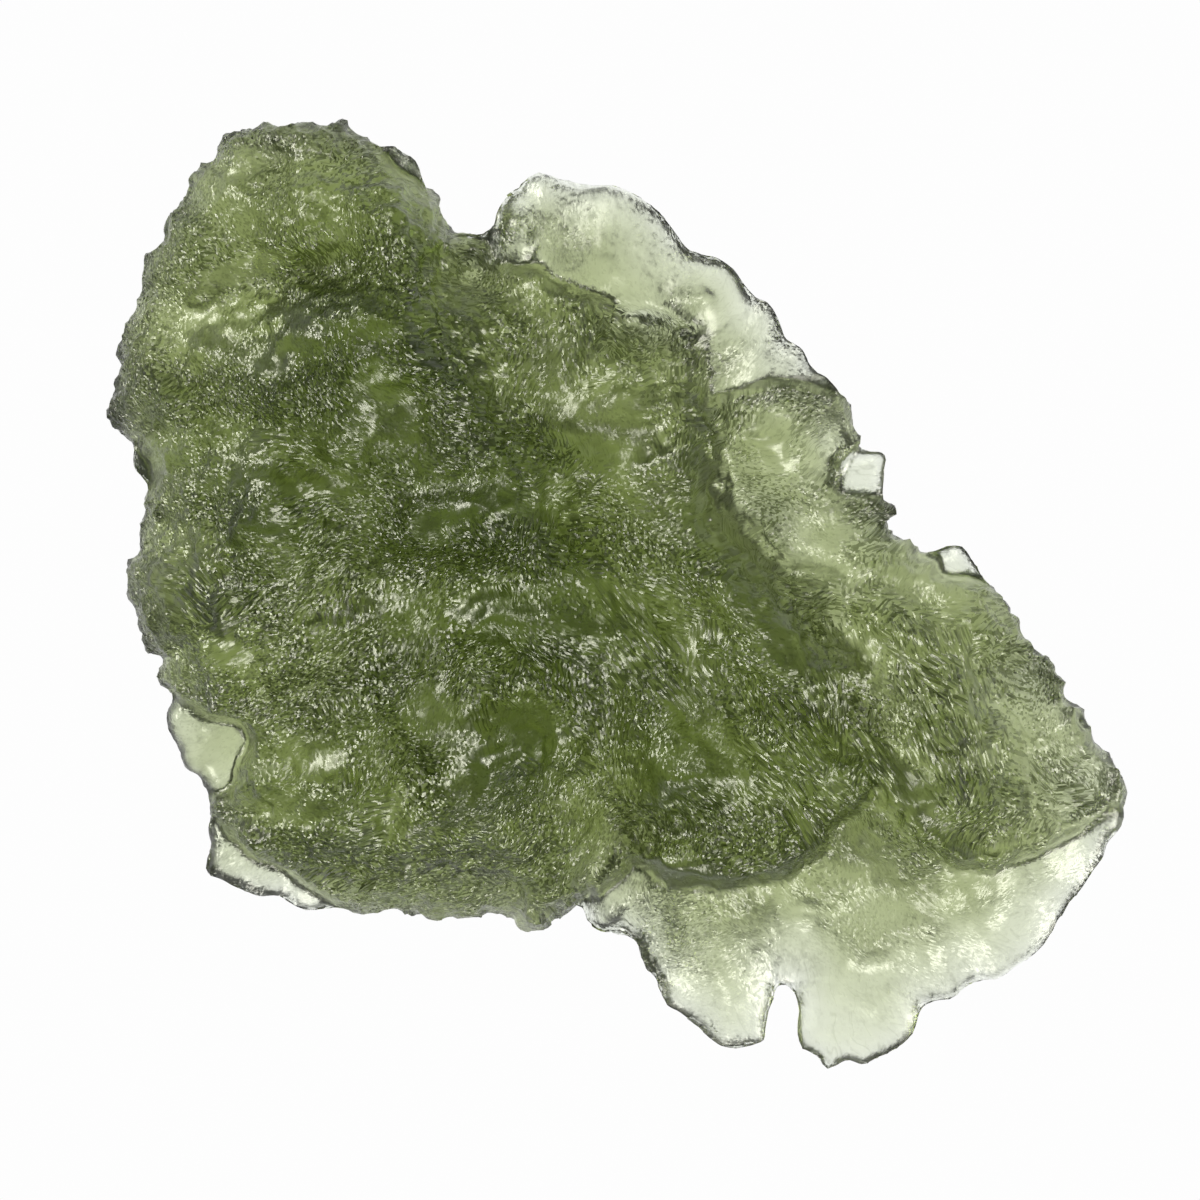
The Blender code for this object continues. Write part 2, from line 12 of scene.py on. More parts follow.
import bmesh
import bpy
import numpy as np
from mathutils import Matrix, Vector


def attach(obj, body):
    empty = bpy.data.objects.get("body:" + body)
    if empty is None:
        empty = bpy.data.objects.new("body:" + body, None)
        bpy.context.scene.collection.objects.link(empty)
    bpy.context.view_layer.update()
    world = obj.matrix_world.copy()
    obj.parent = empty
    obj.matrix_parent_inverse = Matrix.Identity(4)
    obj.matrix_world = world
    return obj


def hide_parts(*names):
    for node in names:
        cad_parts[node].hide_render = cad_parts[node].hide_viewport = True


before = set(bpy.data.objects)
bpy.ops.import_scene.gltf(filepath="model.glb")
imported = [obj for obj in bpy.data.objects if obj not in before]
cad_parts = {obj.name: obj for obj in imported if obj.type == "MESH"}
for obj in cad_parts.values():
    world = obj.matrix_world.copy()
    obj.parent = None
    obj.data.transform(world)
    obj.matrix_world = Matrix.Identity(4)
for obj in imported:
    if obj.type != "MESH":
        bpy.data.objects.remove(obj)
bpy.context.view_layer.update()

MM = 0.001

# Real size of the stone
STONE_WIDTH = 36.0 * MM
CROWN_RIM_THICKNESS = 3.9 * MM
CROWN_MIDDLE_THICKNESS = 8.3 * MM
CROWN_SHOULDER = 5.0 * MM
CROWN_STEP_WIDTH = 0.4 * MM
EDGE_THICKNESS = 0.35 * MM
EDGE_ROUNDING = 0.32
EDGE_LEVEL = 0.42
EDGE_LEVEL_WANDER = 0.16
EDGE_WANDER_LENGTH = 6.0 * MM

# Underside: a small flat spot to rest on, and a shallow bowl rising around it
REST_SPOT = (560, 570)
REST_SPOT_LENGTH = 7.6 * MM
REST_SPOT_WIDTH = 6.0 * MM
REST_SPOT_TURN = -35.0
BOWL_RISE = 2.4 * MM
BOWL_REACH = 11.0 * MM
BOWL_SINK = 0.12 * MM
BOWL_POWER = 1.5
WARP = 0.45 * MM
WARP_LENGTH = 15.0 * MM
REST_FADE = 0.8
UNDER_RELIEF = 0.8

# Hollows etched into both faces, stretched outwards from the middle of the stone. Their field,
# jitter and reach are shares of the stone's width and of their pitch, their swerve is in radians
FLOW_CENTRE = (540, 500)
FLOW_STRETCH = 1.7
LARGE_HOLLOW = 3.3 * MM
LARGE_HOLLOW_DEPTH = 0.78 * MM
SMALL_HOLLOW = 1.5 * MM
SMALL_HOLLOW_DEPTH = 0.3 * MM
HOLLOW_FIELD = 0.55
HOLLOW_JITTER = 0.45
HOLLOW_REACH = 0.62
HOLLOW_STRENGTH = (0.55, 1.3)
HOLLOW_SWERVE = 0.35
FULL_RELIEF_THICKNESS = 4.5 * MM
LEAST_RELIEF = 0.12
RELIEF_POWER = 1.3

# Fine etching, cut at right angles into the finished skin: pitch, depth, stretch and seed
FLUTES = (0.95 * MM, 0.12 * MM, 3.2, 71)
PITS = (0.62 * MM, 0.08 * MM, 1.0, 72)
GRAINS = (0.36 * MM, 0.03 * MM, 1.0, 73)
RIM_TEETH = (0.8 * MM, 0.28 * MM, 1.0, 74)
FINE_WANDER = 0.3
FINE_REACH = 0.75
FINE_LEAST = 0.35
FINE_GAIN = 1.05

# How rough the etching is: its mean, the swing and length of its waves and its limits, then what
# smooth, shaded, streaky and thin places make of it
ROUGH_MEAN = 0.75
ROUGH_SWING = 0.45
ROUGH_WAVE = 4.0 * MM
ROUGH_LIMITS = (0.25, 1.2)
SMOOTH_SHARE = 0.95
SHADED_ROUGHNESS = 0.9
STREAKY_ROUGHNESS = 0.75
SLIM_ROUGHNESS = 0.15
SLIM_DEPTH = 0.3
LEAST_GRAIN = 0.2
STOUT_THICKNESS = 4.0 * MM
LEAST_STOUTNESS = 0.1

# Where the etching ends: how fast it comes in as the skin turns to face up, and around the spot
# and the floor that the stone rests on
FACING_STEEPNESS = 2.0
SHADE_AROUND = 0.6
DOWNWARD = -0.3
SPOT_EDGE = 0.95
SPOT_FADE = 0.3
FLOOR_CLEARANCE = 0.1 * MM

# Soft forms: a bell's steepness, where an oval place ends and over what it fades, and the sum of
# gentle waves that counts as 1
BELL_STEEPNESS = 0.7
WAVE_SUM = 2.5
OVAL_END = 1.6
OVAL_FADE = 0.9

# Cells of the skin, and the directions of its patches of strokes and of grain. A patch has a
# pitch, a stretch, a wander in radians, a least strength and a seed
STROKE_PATCHES = (1.6 * MM, 2.8, 0.35, 0.2, 81)
GRAIN_PATCHES = (0.9 * MM, 1.4, 1.2, 0.0, 82)
CELL_MARGIN = 3
CELL_JITTER = (0.05, 0.95)
LONG_CELL = 1.2
STROKE_PULL = 6.0
STROKE_REACH = 1.4
PATCH_BEND = 0.45
LEAST_STREAK = 0.4

# Seeds of the random draws of the waves and of the large hollows
SEEDS = {"warp": 5, "edge": 8, "rough": 3, "upper": 11, "under": 37}

# Ledge rims: width of the knife edge against the thickness, the power it grows by, what is left of
# the thickness at the very rim, and the angle in degrees from which an edge counts as sharp
KNIFE_SLOPE = 1.2
KNIFE_CURVE = 0.6
KNIFE_BLUNTNESS = 0.1
SHARP_ANGLE = 55.0

# Making of the skin
SLAB_THICKNESS = 0.6 * MM
WELD_REACH = 0.001 * MM
FIRST_VOXEL = 0.19 * MM
SKIN_VOXEL = 0.176 * MM

# The picture: its side in pixels, the lens, the height of the outline's plane, and what the
# camera sees between
PICTURE = 1200
LENS_MM = 300.0
SENSOR_MM = 36.0
OUTLINE_PLANE = 3.0 * MM
CLIP_START = 1.0 * MM
CLIP_END = 10.0

# Extremes of the outline in pixels
OUTLINE_LEFT = 111
OUTLINE_RIGHT = 1127
OUTLINE_TOP = 121
OUTLINE_BOTTOM = 1072
METRES_PER_PIXEL = STONE_WIDTH / (OUTLINE_RIGHT - OUTLINE_LEFT)

# The outline, clockwise from the highest tooth on the upper left
TOP_SHOULDER = [
    (341, 121), (350, 131), (360, 137), (372, 140), (380, 149), (395, 146), (401, 154),
    (415, 160), (421, 170), (424, 184), (437, 199), (441, 212), (447, 226), (453, 235),
]
UPPER_LEDGE = [
    (462, 237), (483, 238), (493, 227), (497, 212), (505, 200), (520, 190), (530, 176),
    (541, 173), (553, 175), (561, 181), (581, 187), (605, 184), (626, 190), (642, 199),
    (655, 210), (671, 226), (677, 239), (692, 253), (706, 257), (722, 260), (732, 267),
    (739, 276), (747, 291), (754, 300), (769, 303), (777, 315), (782, 329), (784, 341),
]
RIGHT_STEPS = [
    (801, 346), (807, 357), (813, 370), (829, 378), (836, 386), (841, 398), (851, 404),
    (854, 425), (860, 440), (857, 452), (871, 451), (888, 452), (886, 464), (883, 476),
    (884, 488), (882, 498), (896, 508), (888, 518), (885, 531), (888, 538), (911, 538),
    (912, 546), (925, 555), (940, 548), (957, 543), (965, 549), (973, 560), (985, 580),
]
RIGHT_RIM = [
    (1000, 598), (1010, 613), (1019, 624), (1026, 637), (1032, 643), (1037, 655), (1047, 661),
    (1056, 673), (1063, 683), (1066, 701), (1079, 707), (1085, 722), (1093, 736), (1101, 748),
    (1111, 762), (1120, 769), (1122, 780), (1127, 790), (1123, 801), (1125, 813), (1121, 829),
    (1106, 841), (1101, 860),
]
FLANGE = [
    (1090, 875), (1079, 891), (1068, 904), (1059, 918), (1052, 932), (1042, 947), (1029, 958),
    (1011, 970), (996, 981), (980, 979), (967, 986), (954, 998), (923, 1003), (917, 1020),
    (914, 1034), (904, 1045), (890, 1052), (866, 1065), (846, 1060), (825, 1072), (820, 1057),
    (800, 1049), (796, 1030), (799, 1010), (793, 986),
]
TONGUE = [
    (784, 986), (776, 982), (774, 997), (767, 1015), (765, 1042), (742, 1047), (722, 1048),
    (711, 1040), (702, 1028), (680, 1014), (666, 1006), (661, 991), (655, 976), (643, 964),
    (638, 943), (620, 930), (602, 931), (594, 927), (587, 914),
]
BOTTOM_RIM = [
    (581, 901), (569, 912), (551, 914), (549, 929), (534, 932), (520, 926), (514, 916),
    (499, 914), (483, 913), (468, 920), (452, 916), (437, 919), (413, 910), (387, 909),
    (359, 909), (331, 907), (311, 911), (298, 908), (282, 896), (260, 897), (232, 884),
    (207, 873),
]
LOWER_LEDGES = [
    (211, 846), (207, 829), (216, 819), (208, 804), (210, 790), (201, 776), (187, 770),
    (178, 746), (169, 727), (167, 712), (176, 696), (162, 682), (161, 670), (166, 660),
]
LEFT_RIM = [
    (152, 650), (142, 630), (137, 615), (132, 600), (134, 586), (129, 566), (139, 556),
    (141, 542), (146, 526), (145, 512), (147, 497), (152, 488), (146, 480), (137, 472),
    (134, 460), (137, 446), (126, 438), (112, 424), (112, 411), (117, 392), (121, 365),
    (122, 345), (126, 325), (138, 307), (145, 294), (140, 278), (145, 260), (157, 252),
    (166, 238), (166, 218), (187, 199), (189, 179), (204, 168), (215, 162), (218, 150),
    (230, 137), (251, 127), (274, 130), (298, 124), (325, 127),
]

# Edge of the thick crown. Where it lies outside the outline the crown reaches the rim,
# and where it lies inside, a thinner ledge, chip or flange runs on beyond it
CROWN_TOP = [
    (60, 60), (372, 100), (378, 148), (386, 168), (397, 182), (412, 187), (428, 191),
    (458, 190), (470, 215), (461, 240), (482, 243), (489, 253), (500, 267), (520, 273),
    (540, 270), (546, 281), (556, 290), (572, 297), (598, 305), (625, 304), (640, 311),
    (655, 314), (668, 311), (680, 318), (690, 323), (697, 345), (701, 360), (699, 382),
    (702, 408), (720, 399), (741, 392), (760, 388), (780, 384), (800, 387), (824, 396),
    (846, 398), (880, 410),
]
CROWN_RIGHT = [
    (872, 440), (857, 443), (845, 456), (838, 472), (834, 486), (832, 498), (852, 501),
    (878, 500), (896, 495), (930, 520), (928, 555), (936, 565), (931, 577), (950, 583),
    (968, 585), (990, 587), (1020, 580), (1170, 690), (1170, 800), (1107, 806), (1075, 827),
    (1046, 841), (993, 863), (957, 863), (915, 838), (888, 802),
]
CROWN_BOTTOM = [
    (875, 774), (866, 790), (850, 813), (838, 815), (825, 831), (818, 846), (804, 857),
    (779, 872), (752, 872), (725, 881), (700, 876), (671, 878), (654, 863), (632, 856),
    (622, 871), (608, 882), (598, 894), (586, 891), (576, 905), (565, 960), (350, 950),
    (338, 901), (325, 890), (310, 880), (290, 863), (262, 853), (240, 834), (222, 820),
    (195, 812),
]
CROWN_LEFT = [
    (207, 801), (225, 797), (240, 786), (245, 762), (257, 742), (254, 723), (240, 716),
    (213, 712), (200, 703), (183, 694), (168, 688), (130, 690), (90, 640), (90, 505),
    (120, 500), (151, 491), (160, 479), (157, 456), (140, 448), (110, 447), (70, 430),
]

# Ledge gauge points: x, y, thickness and the lift of the underside there, in millimetres
LEDGE_GAUGES = [
    (405, 165, 0.6, 2.6), (475, 238, 1.9, 1.4), (535, 190, 1.3, 1.6), (520, 235, 3.2, 1.3),
    (560, 260, 3.0, 1.1), (600, 215, 1.5, 1.6), (640, 250, 2.1, 1.4), (665, 228, 1.0, 1.6),
    (650, 295, 2.5, 1.0), (715, 275, 1.1, 1.5), (700, 300, 2.8, 1.1), (755, 320, 1.0, 1.4),
    (725, 355, 3.0, 0.8), (760, 375, 1.2, 1.2), (815, 370, 0.5, 1.8), (868, 470, 0.5, 1.9),
    (955, 563, 0.5, 1.7), (1110, 838, 1.0, 0.9), (1085, 860, 0.7, 0.7), (1040, 858, 1.9, 0.4),
    (868, 815, 5.4, 0.0), (895, 825, 4.8, 0.0), (960, 885, 2.8, 0.2), (900, 860, 3.9, 0.0),
    (1055, 905, 0.6, 0.6), (1020, 930, 0.9, 0.5),
    (900, 905, 2.8, 0.1), (960, 965, 0.9, 0.4), (860, 925, 2.5, 0.2), (880, 985, 1.3, 0.4),
    (850, 1035, 0.8, 0.5), (810, 1030, 0.6, 0.6), (900, 1030, 0.8, 0.5), (820, 880, 3.6, 0.0),
    (800, 940, 1.2, 0.7), (785, 975, 0.6, 1.0), (740, 905, 3.9, 0.0), (690, 900, 4.4, 0.0),
    (730, 960, 2.2, 0.3), (745, 1030, 0.9, 0.6), (690, 1000, 0.8, 0.6), (650, 950, 2.3, 0.5),
    (615, 905, 3.5, 0.5), (535, 922, 0.7, 1.4), (300, 893, 0.9, 0.9), (250, 870, 1.2, 0.8),
    (215, 850, 1.7, 0.8), (225, 745, 2.2, 0.8), (185, 730, 1.5, 1.0), (165, 675, 1.5, 1.2),
    (140, 465, 1.1, 1.6),
]

# How softly the gauge points blend: square millimetres, and power of the nearness
GAUGE_SOFTNESS = 0.5
GAUGE_FALLOFF = 1.7

# Forms of the upper face: x, y, half length, half width, turn in degrees and height.
# Lengths are in millimetres, a turn of 0 lies along +X, and a negative height is a dish
UPPER_FORMS = [
    (455, 470, 5.2, 3.6, -65, 1.25), (500, 515, 2.6, 1.8, -30, 0.55), (440, 345, 2.2, 1.5, 80, 0.55),
    (612, 405, 3.7, 2.1, -42, -1.35), (560, 350, 1.6, 1.2, 30, -0.35), (690, 375, 1.7, 0.8, -80, 0.8),
    (778, 445, 2.3, 1.7, -75, -1.8), (820, 425, 1.2, 1.2, 90, -0.9), (745, 520, 2.2, 1.2, -30, 0.35),
    (225, 312, 2.9, 1.5, 18, -1.35), (262, 165, 2.2, 1.6, 40, -0.8), (305, 400, 1.7, 1.0, 15, 0.5),
    (400, 230, 2.0, 1.2, -60, 0.45), (290, 480, 3.0, 1.4, 0, 0.4), (345, 560, 1.8, 0.9, 70, -0.45),
    (590, 640, 2.4, 1.5, -15, 0.75), (555, 700, 1.6, 1.0, -50, -0.45), (660, 600, 2.2, 1.2, -20, -0.35),
    (480, 735, 2.0, 1.0, 85, -0.5), (520, 740, 2.0, 0.8, 88, 0.6), (395, 660, 2.6, 0.8, 55, 0.45),
    (830, 690, 4.4, 2.2, -50, 0.85), (700, 700, 2.6, 1.0, -55, -0.4), (910, 585, 1.6, 1.1, -30, -1.1),
    (900, 790, 1.6, 1.1, -45, -0.7), (820, 545, 1.8, 1.3, -60, -0.9), (1010, 700, 2.6, 1.3, -50, -0.9),
    (1080, 780, 1.8, 1.2, -60, -0.8), (945, 670, 2.6, 0.6, -52, 0.45), (860, 620, 2.2, 0.7, -35, 0.4),
    (600, 830, 1.2, 2.4, 0, -0.8), (500, 850, 1.3, 0.8, 0, 0.4), (370, 850, 3.2, 0.9, -8, 0.55),
    (230, 620, 1.6, 2.2, 0, 0.45), (300, 700, 2.4, 1.2, 20, -0.5), (180, 540, 1.8, 1.4, 0, -0.6),
    (195, 440, 1.8, 0.8, -10, 0.4), (740, 860, 2.2, 0.7, -5, 0.35), (650, 790, 1.4, 2.2, 10, 0.4),
    (790, 950, 1.6, 1.0, 90, -0.5), (1030, 810, 1.1, 0.8, -50, 0.3),
    (665, 335, 2.4, 1.2, -40, -1.5), (755, 400, 1.6, 2.2, -60, -1.0), (775, 525, 1.8, 1.5, -60, -2.1),
    (840, 600, 3.0, 1.4, -50, -1.2), (895, 715, 2.8, 1.9, -50, -1.9), (1050, 770, 3.2, 1.6, -55, -1.3),
    (850, 455, 1.2, 0.9, -60, -1.0), (520, 745, 2.0, 1.5, 0, 0.8), (380, 320, 1.8, 1.2, 60, 0.7),
    (235, 570, 1.6, 1.2, 0, 0.6), (300, 275, 1.8, 0.8, 10, -1.0), (480, 278, 1.2, 1.0, 0, -1.2),
    (490, 385, 1.6, 1.2, -60, -0.7), (650, 325, 1.8, 0.8, -10, -1.4), (125, 430, 1.2, 0.8, 0, -1.0),
    (740, 500, 1.9, 1.0, -60, -1.6), (850, 500, 1.4, 0.8, -60, -0.8), (835, 625, 1.0, 0.9, 0, -1.0),
    (930, 630, 1.2, 0.8, -50, -0.7), (1025, 680, 1.4, 0.9, -60, -1.1), (870, 722, 1.4, 1.0, 0, -0.8),
    (1030, 820, 1.6, 1.0, 20, -1.2), (1105, 775, 1.0, 0.9, 0, -1.1), (990, 775, 1.6, 1.0, 0, -0.6),
    (590, 525, 1.6, 0.8, -20, -0.8), (600, 425, 2.0, 1.0, -45, -0.6), (430, 575, 2.4, 0.9, 0, -0.5),
    (500, 750, 1.8, 1.3, 40, 1.1), (680, 755, 1.2, 1.4, 0, 0.8), (775, 450, 0.8, 1.0, 0, 0.5),
    (265, 525, 1.6, 0.9, 0, 0.9), (350, 340, 1.6, 1.6, 0, 0.9), (500, 528, 1.4, 0.8, 0, 0.7),
    (650, 825, 1.4, 0.8, 0, -1.5), (450, 880, 1.8, 0.7, 0, -0.7), (325, 880, 1.2, 0.5, 0, -1.2),
    (575, 520, 1.2, 0.9, 0, -1.0), (720, 525, 1.3, 0.9, -50, -0.9), (775, 578, 1.1, 0.8, -50, -0.9),
    (828, 630, 1.1, 0.8, -40, -1.2), (872, 525, 0.8, 0.7, -60, -0.9), (968, 580, 0.9, 0.7, -50, -0.8),
    (1032, 672, 1.0, 0.7, -60, -1.2), (850, 722, 1.6, 0.9, 0, -1.0), (1010, 775, 2.2, 0.8, -10, -0.7),
    (990, 828, 2.8, 0.9, 5, -1.0), (500, 885, 1.6, 0.7, 0, -1.0), (645, 330, 1.5, 0.8, -20, -0.9),
    (680, 378, 1.0, 0.8, -60, -0.8), (725, 450, 1.4, 0.6, 90, -0.6), (828, 440, 1.2, 0.6, -80, -0.8),
    (555, 425, 1.4, 0.8, 0, -0.8), (478, 272, 0.9, 0.8, 0, -1.3), (325, 275, 1.2, 0.8, 0, -1.2),
    (275, 170, 1.0, 0.7, 0, -1.0), (172, 378, 0.9, 0.9, 0, -0.8), (275, 625, 1.0, 0.8, 0, -0.6),
    (375, 378, 1.1, 0.9, 0, 0.6), (272, 500, 1.2, 1.3, 0, 1.1), (575, 825, 0.9, 0.9, 0, 0.9),
    (505, 625, 1.4, 0.9, 0, 1.0), (710, 775, 1.4, 0.8, 0, 1.1), (275, 775, 0.9, 0.9, 0, 1.0),
    (350, 800, 1.2, 1.0, 0, 0.5),
]

# Forms of the underside, guessed: a positive height is a dish pressed up into the stone
UNDER_FORMS = [
    (330, 300, 3.4, 2.0, 35, 1.0), (300, 640, 2.8, 1.8, -20, 0.9), (420, 820, 2.6, 1.3, 5, 0.8),
    (760, 520, 3.0, 1.7, -45, 0.9), (930, 720, 3.2, 1.7, -50, 1.0), (700, 860, 2.2, 1.4, 20, 0.7),
    (470, 330, 2.6, 1.5, 70, 0.8), (200, 430, 2.0, 1.6, 0, -0.5), (1040, 760, 2.0, 1.2, -60, -0.4),
    (820, 780, 1.8, 2.4, 15, -0.6), (380, 190, 2.2, 1.4, -20, -0.5), (250, 820, 1.6, 1.2, 0, -0.3),
]

# Places that the etching left smooth: x, y, half length, half width, turn in degrees, strength
SMOOTH_PLACES = [
    (600, 415, 2.6, 1.3, -48, 0.9), (640, 450, 1.6, 0.8, -40, 0.7), (700, 520, 1.9, 0.9, -12, 0.6),
    (245, 274, 1.6, 0.4, 18, 0.9), (275, 365, 0.9, 0.6, 0, 0.9), (380, 410, 0.9, 1.4, 10, 0.7),
    (412, 425, 0.6, 0.7, 0, 0.9), (315, 487, 1.2, 0.4, 0, 1.0), (250, 483, 1.6, 0.3, 5, 0.7),
    (445, 522, 1.0, 0.7, 20, 1.0), (490, 503, 1.3, 0.3, 0, 1.0), (270, 523, 0.8, 0.7, 0, 0.7),
    (520, 262, 1.1, 0.5, 0, 0.8), (535, 305, 0.8, 0.6, -20, 0.6), (620, 240, 3.0, 1.8, -20, 0.9),
    (730, 312, 0.9, 0.9, 0, 0.9), (820, 540, 1.1, 1.3, 0, 1.0), (925, 590, 1.4, 0.6, -20, 0.9),
    (775, 440, 0.9, 0.8, 0, 0.8), (835, 420, 0.6, 0.9, 0, 0.6), (745, 610, 1.6, 0.6, -30, 0.6),
    (785, 650, 0.9, 0.7, 0, 0.6), (870, 665, 1.2, 0.6, -40, 0.6), (910, 715, 0.8, 0.9, -40, 0.7),
    (690, 735, 1.4, 1.0, -60, 0.7), (600, 860, 1.0, 1.4, 0, 0.5), (660, 868, 1.6, 0.4, -5, 0.9),
    (700, 880, 1.2, 0.4, 0, 0.7), (900, 800, 1.4, 0.9, -40, 0.9), (850, 850, 1.8, 0.9, -30, 0.7),
    (230, 745, 1.2, 1.1, 0, 0.9), (585, 605, 1.5, 1.0, 0, 0.7), (480, 770, 1.2, 0.8, 35, 0.7),
    (530, 750, 1.1, 1.5, 0, 0.8), (315, 755, 1.0, 0.7, -30, 0.8), (290, 805, 2.0, 0.5, 0, 0.7),
    (425, 710, 1.0, 0.6, 50, 0.6), (500, 620, 1.4, 0.6, 0, 0.5), (1000, 870, 3.6, 0.9, 25, 0.8),
    (860, 1010, 2.2, 1.8, 0, 0.8), (760, 910, 1.2, 0.4, 0, 0.4), (170, 600, 0.6, 1.0, 20, 0.6),
    (255, 160, 1.2, 0.6, 40, 0.6), (225, 320, 1.1, 1.2, 0, 0.5),
]

# Places where the etching is deepest, and where painted shade darkens more of its cells, written in the
# same way
SHADED_PLACES = [
    (450, 350, 1.7, 1.2, 0, 0.9), (475, 440, 1.7, 1.4, 0, 0.6), (528, 465, 0.8, 1.3, 0, 0.7),
    (500, 540, 1.7, 0.8, 0, 0.8), (290, 402, 1.0, 0.7, 0, 0.5), (440, 483, 1.6, 0.8, 0, 0.6),
    (603, 520, 1.5, 0.9, -40, 0.7), (686, 350, 1.9, 0.6, 88, 0.9), (620, 335, 1.7, 1.0, -15, 0.7),
    (585, 310, 1.4, 0.5, -15, 0.7), (130, 375, 2.2, 0.7, 80, 0.8), (152, 285, 1.5, 0.7, 60, 0.7),
    (192, 200, 1.8, 0.6, 50, 0.6), (142, 590, 1.8, 0.6, -75, 0.8), (180, 655, 2.0, 1.1, -60, 0.9),
    (230, 690, 1.4, 0.7, -20, 0.9), (250, 825, 1.4, 0.6, -25, 0.9), (312, 845, 1.6, 0.6, -15, 1.0),
    (375, 860, 1.9, 0.7, -5, 1.0), (440, 872, 1.6, 0.4, 0, 0.6), (508, 855, 1.3, 0.5, 15, 0.8),
    (540, 822, 0.5, 1.2, -30, 0.6), (860, 782, 1.2, 0.4, 50, 0.9), (820, 832, 1.1, 0.5, 50, 1.0),
    (790, 855, 1.0, 0.4, 25, 0.8), (735, 905, 1.6, 0.4, 0, 0.7), (800, 955, 0.9, 0.5, 20, 0.8),
    (570, 905, 1.2, 0.4, 0, 0.7), (500, 905, 1.6, 0.4, 0, 0.5), (570, 652, 1.4, 0.5, 0, 0.7),
    (600, 690, 2.0, 1.2, 0, 0.5), (525, 780, 0.8, 0.8, 0, 0.5), (868, 552, 0.9, 0.5, 0, 0.9),
    (866, 515, 0.8, 0.5, -10, 0.9), (755, 372, 0.5, 1.0, 0, 0.7), (815, 393, 0.9, 0.4, -10, 0.7),
    (797, 430, 0.25, 1.6, 0, 0.7), (940, 625, 1.2, 0.3, -45, 0.6), (330, 270, 1.4, 0.7, 0, 0.5),
    (430, 280, 1.2, 0.8, 0, 0.5), (345, 695, 1.2, 0.9, 20, 0.4), (215, 615, 0.5, 1.8, 10, 0.6),
    (1105, 790, 0.5, 1.0, 0, 0.6), (960, 790, 1.6, 0.6, -60, 0.3), (640, 830, 1.5, 0.5, 0, 0.5),
]

# Places where the strokes have a direction of their own: x, y, reach, angle in degrees
STROKE_PLACES = [
    (620, 350, 2.0, -38), (330, 865, 2.8, -4), (450, 865, 2.6, 4), (815, 755, 3.0, -60),
    (900, 700, 2.8, -62), (975, 745, 2.8, -62), (1040, 740, 2.4, -60), (735, 830, 2.4, -55),
    (640, 640, 2.2, -58), (435, 750, 2.2, 62), (575, 840, 2.4, 80), (600, 515, 1.6, -38),
    (230, 590, 1.8, -48), (320, 650, 2.4, 30), (250, 670, 1.8, 35), (380, 420, 2.0, -62),
    (300, 340, 2.2, -50), (545, 345, 1.2, 52), (455, 480, 1.6, -8), (640, 250, 2.6, -75),
    (530, 680, 1.6, -55), (900, 930, 2.4, -45), (1010, 870, 2.4, 28), (700, 940, 2.0, 30),
]

# Places of long streaks, written as the smooth places are
STREAK_PLACES = [
    (848, 728, 2.2, 1.4, -62, 1.0), (950, 700, 3.4, 1.8, -60, 1.0), (782, 775, 2.0, 1.1, -60, 0.9),
    (1025, 812, 1.2, 0.9, -60, 1.0), (595, 350, 1.4, 1.2, 52, 0.8), (612, 525, 1.4, 0.8, -40, 1.0),
    (645, 630, 2.0, 1.2, -55, 0.7), (330, 450, 1.4, 1.0, 60, 0.6), (205, 600, 2.0, 1.0, -50, 0.6),
    (300, 862, 2.0, 0.6, -5, 0.6), (445, 865, 2.0, 0.6, 4, 0.5), (700, 640, 1.4, 0.8, -50, 0.7),
    (560, 600, 1.4, 0.6, -20, 0.6), (800, 600, 1.2, 0.6, -15, 0.8), (745, 940, 2.0, 1.2, -50, 0.5),
]

# Places of the ledges whose rim stays blunt, written in the same way
BLUNT_PLACES = [(225, 745, 2.0, 2.0, 0, 0.8), (225, 850, 1.2, 1.0, 40, 0.4)]

# The glass: its bending of light, its colour by absorption, and its finest etching. Facets and
# creases are measured in millimetres. Four numbers together carry a range over to another range
IOR = 1.49
ABSORPTION_COLOUR = (0.72, 0.76, 0.53, 1.0)
ABSORPTION_DENSITY = 920.0
STROKE_WIDTH = 0.055
STREAKY_LENGTHS = (0.3, 0.9, 0.10, 0.6)
WALL_RISE = 0.7
STREAKY_RISES = (0.1, 0.4, WALL_RISE, 0.0)
ETCHED_STEEPNESS = (0.0, 1.0, 0.25, 2.4)
STOUT_STEEPNESS = (LEAST_STOUTNESS, 1.0, 0.4, 1.0)
PATCH_LEANS = (0.3, 1.0, -0.15, 0.15)
FACET_EVENNESS = 0.7
GRAIN_WIDTH = 0.22
GRAIN_LENGTH = 0.34
GRAIN_STEEPNESS = 0.35
# Base colour: near-white glass darkened towards a colour of painted crevice shade in a share of the
# etched cells, in random grains and along crease lines; the numbers below set those shares and how dark
# they go
PIT_TINT = (0.97, 1.0, 0.94, 1.0)
CREVICE_SHADE_COLOUR = (0.10, 0.12, 0.05, 1.0)
LEAST_SHADE = 0.16
ETCHED_SHADE = 0.36
PLACE_SHADE = 0.20
GRAIN_SHADE = 0.15
ETCHED_CREVICES = (0.1, 0.9, 0.35, 0.95)
STOUT_CREVICES = (0.0, 1.0, 0.1, 1.0)
CREVICE_EDGE = 0.12
# Crease lines: dark lines of painted shade along the thin ledges, with their pitch, length and width in
# millimetres, their darkness and their noise detail
CREASE_PITCH = 0.7
CREASE_LENGTH = 2.4
CREASE_WIDTH = 0.03
CREASE_SHADE = 0.3
CREASE_DETAIL = 2.0
ROUGHNESS_RANGE = (0.0, 1.0, 0.275, 0.3)
VECTOR_SOCKETS = ("Place", "Direction", "Normal")

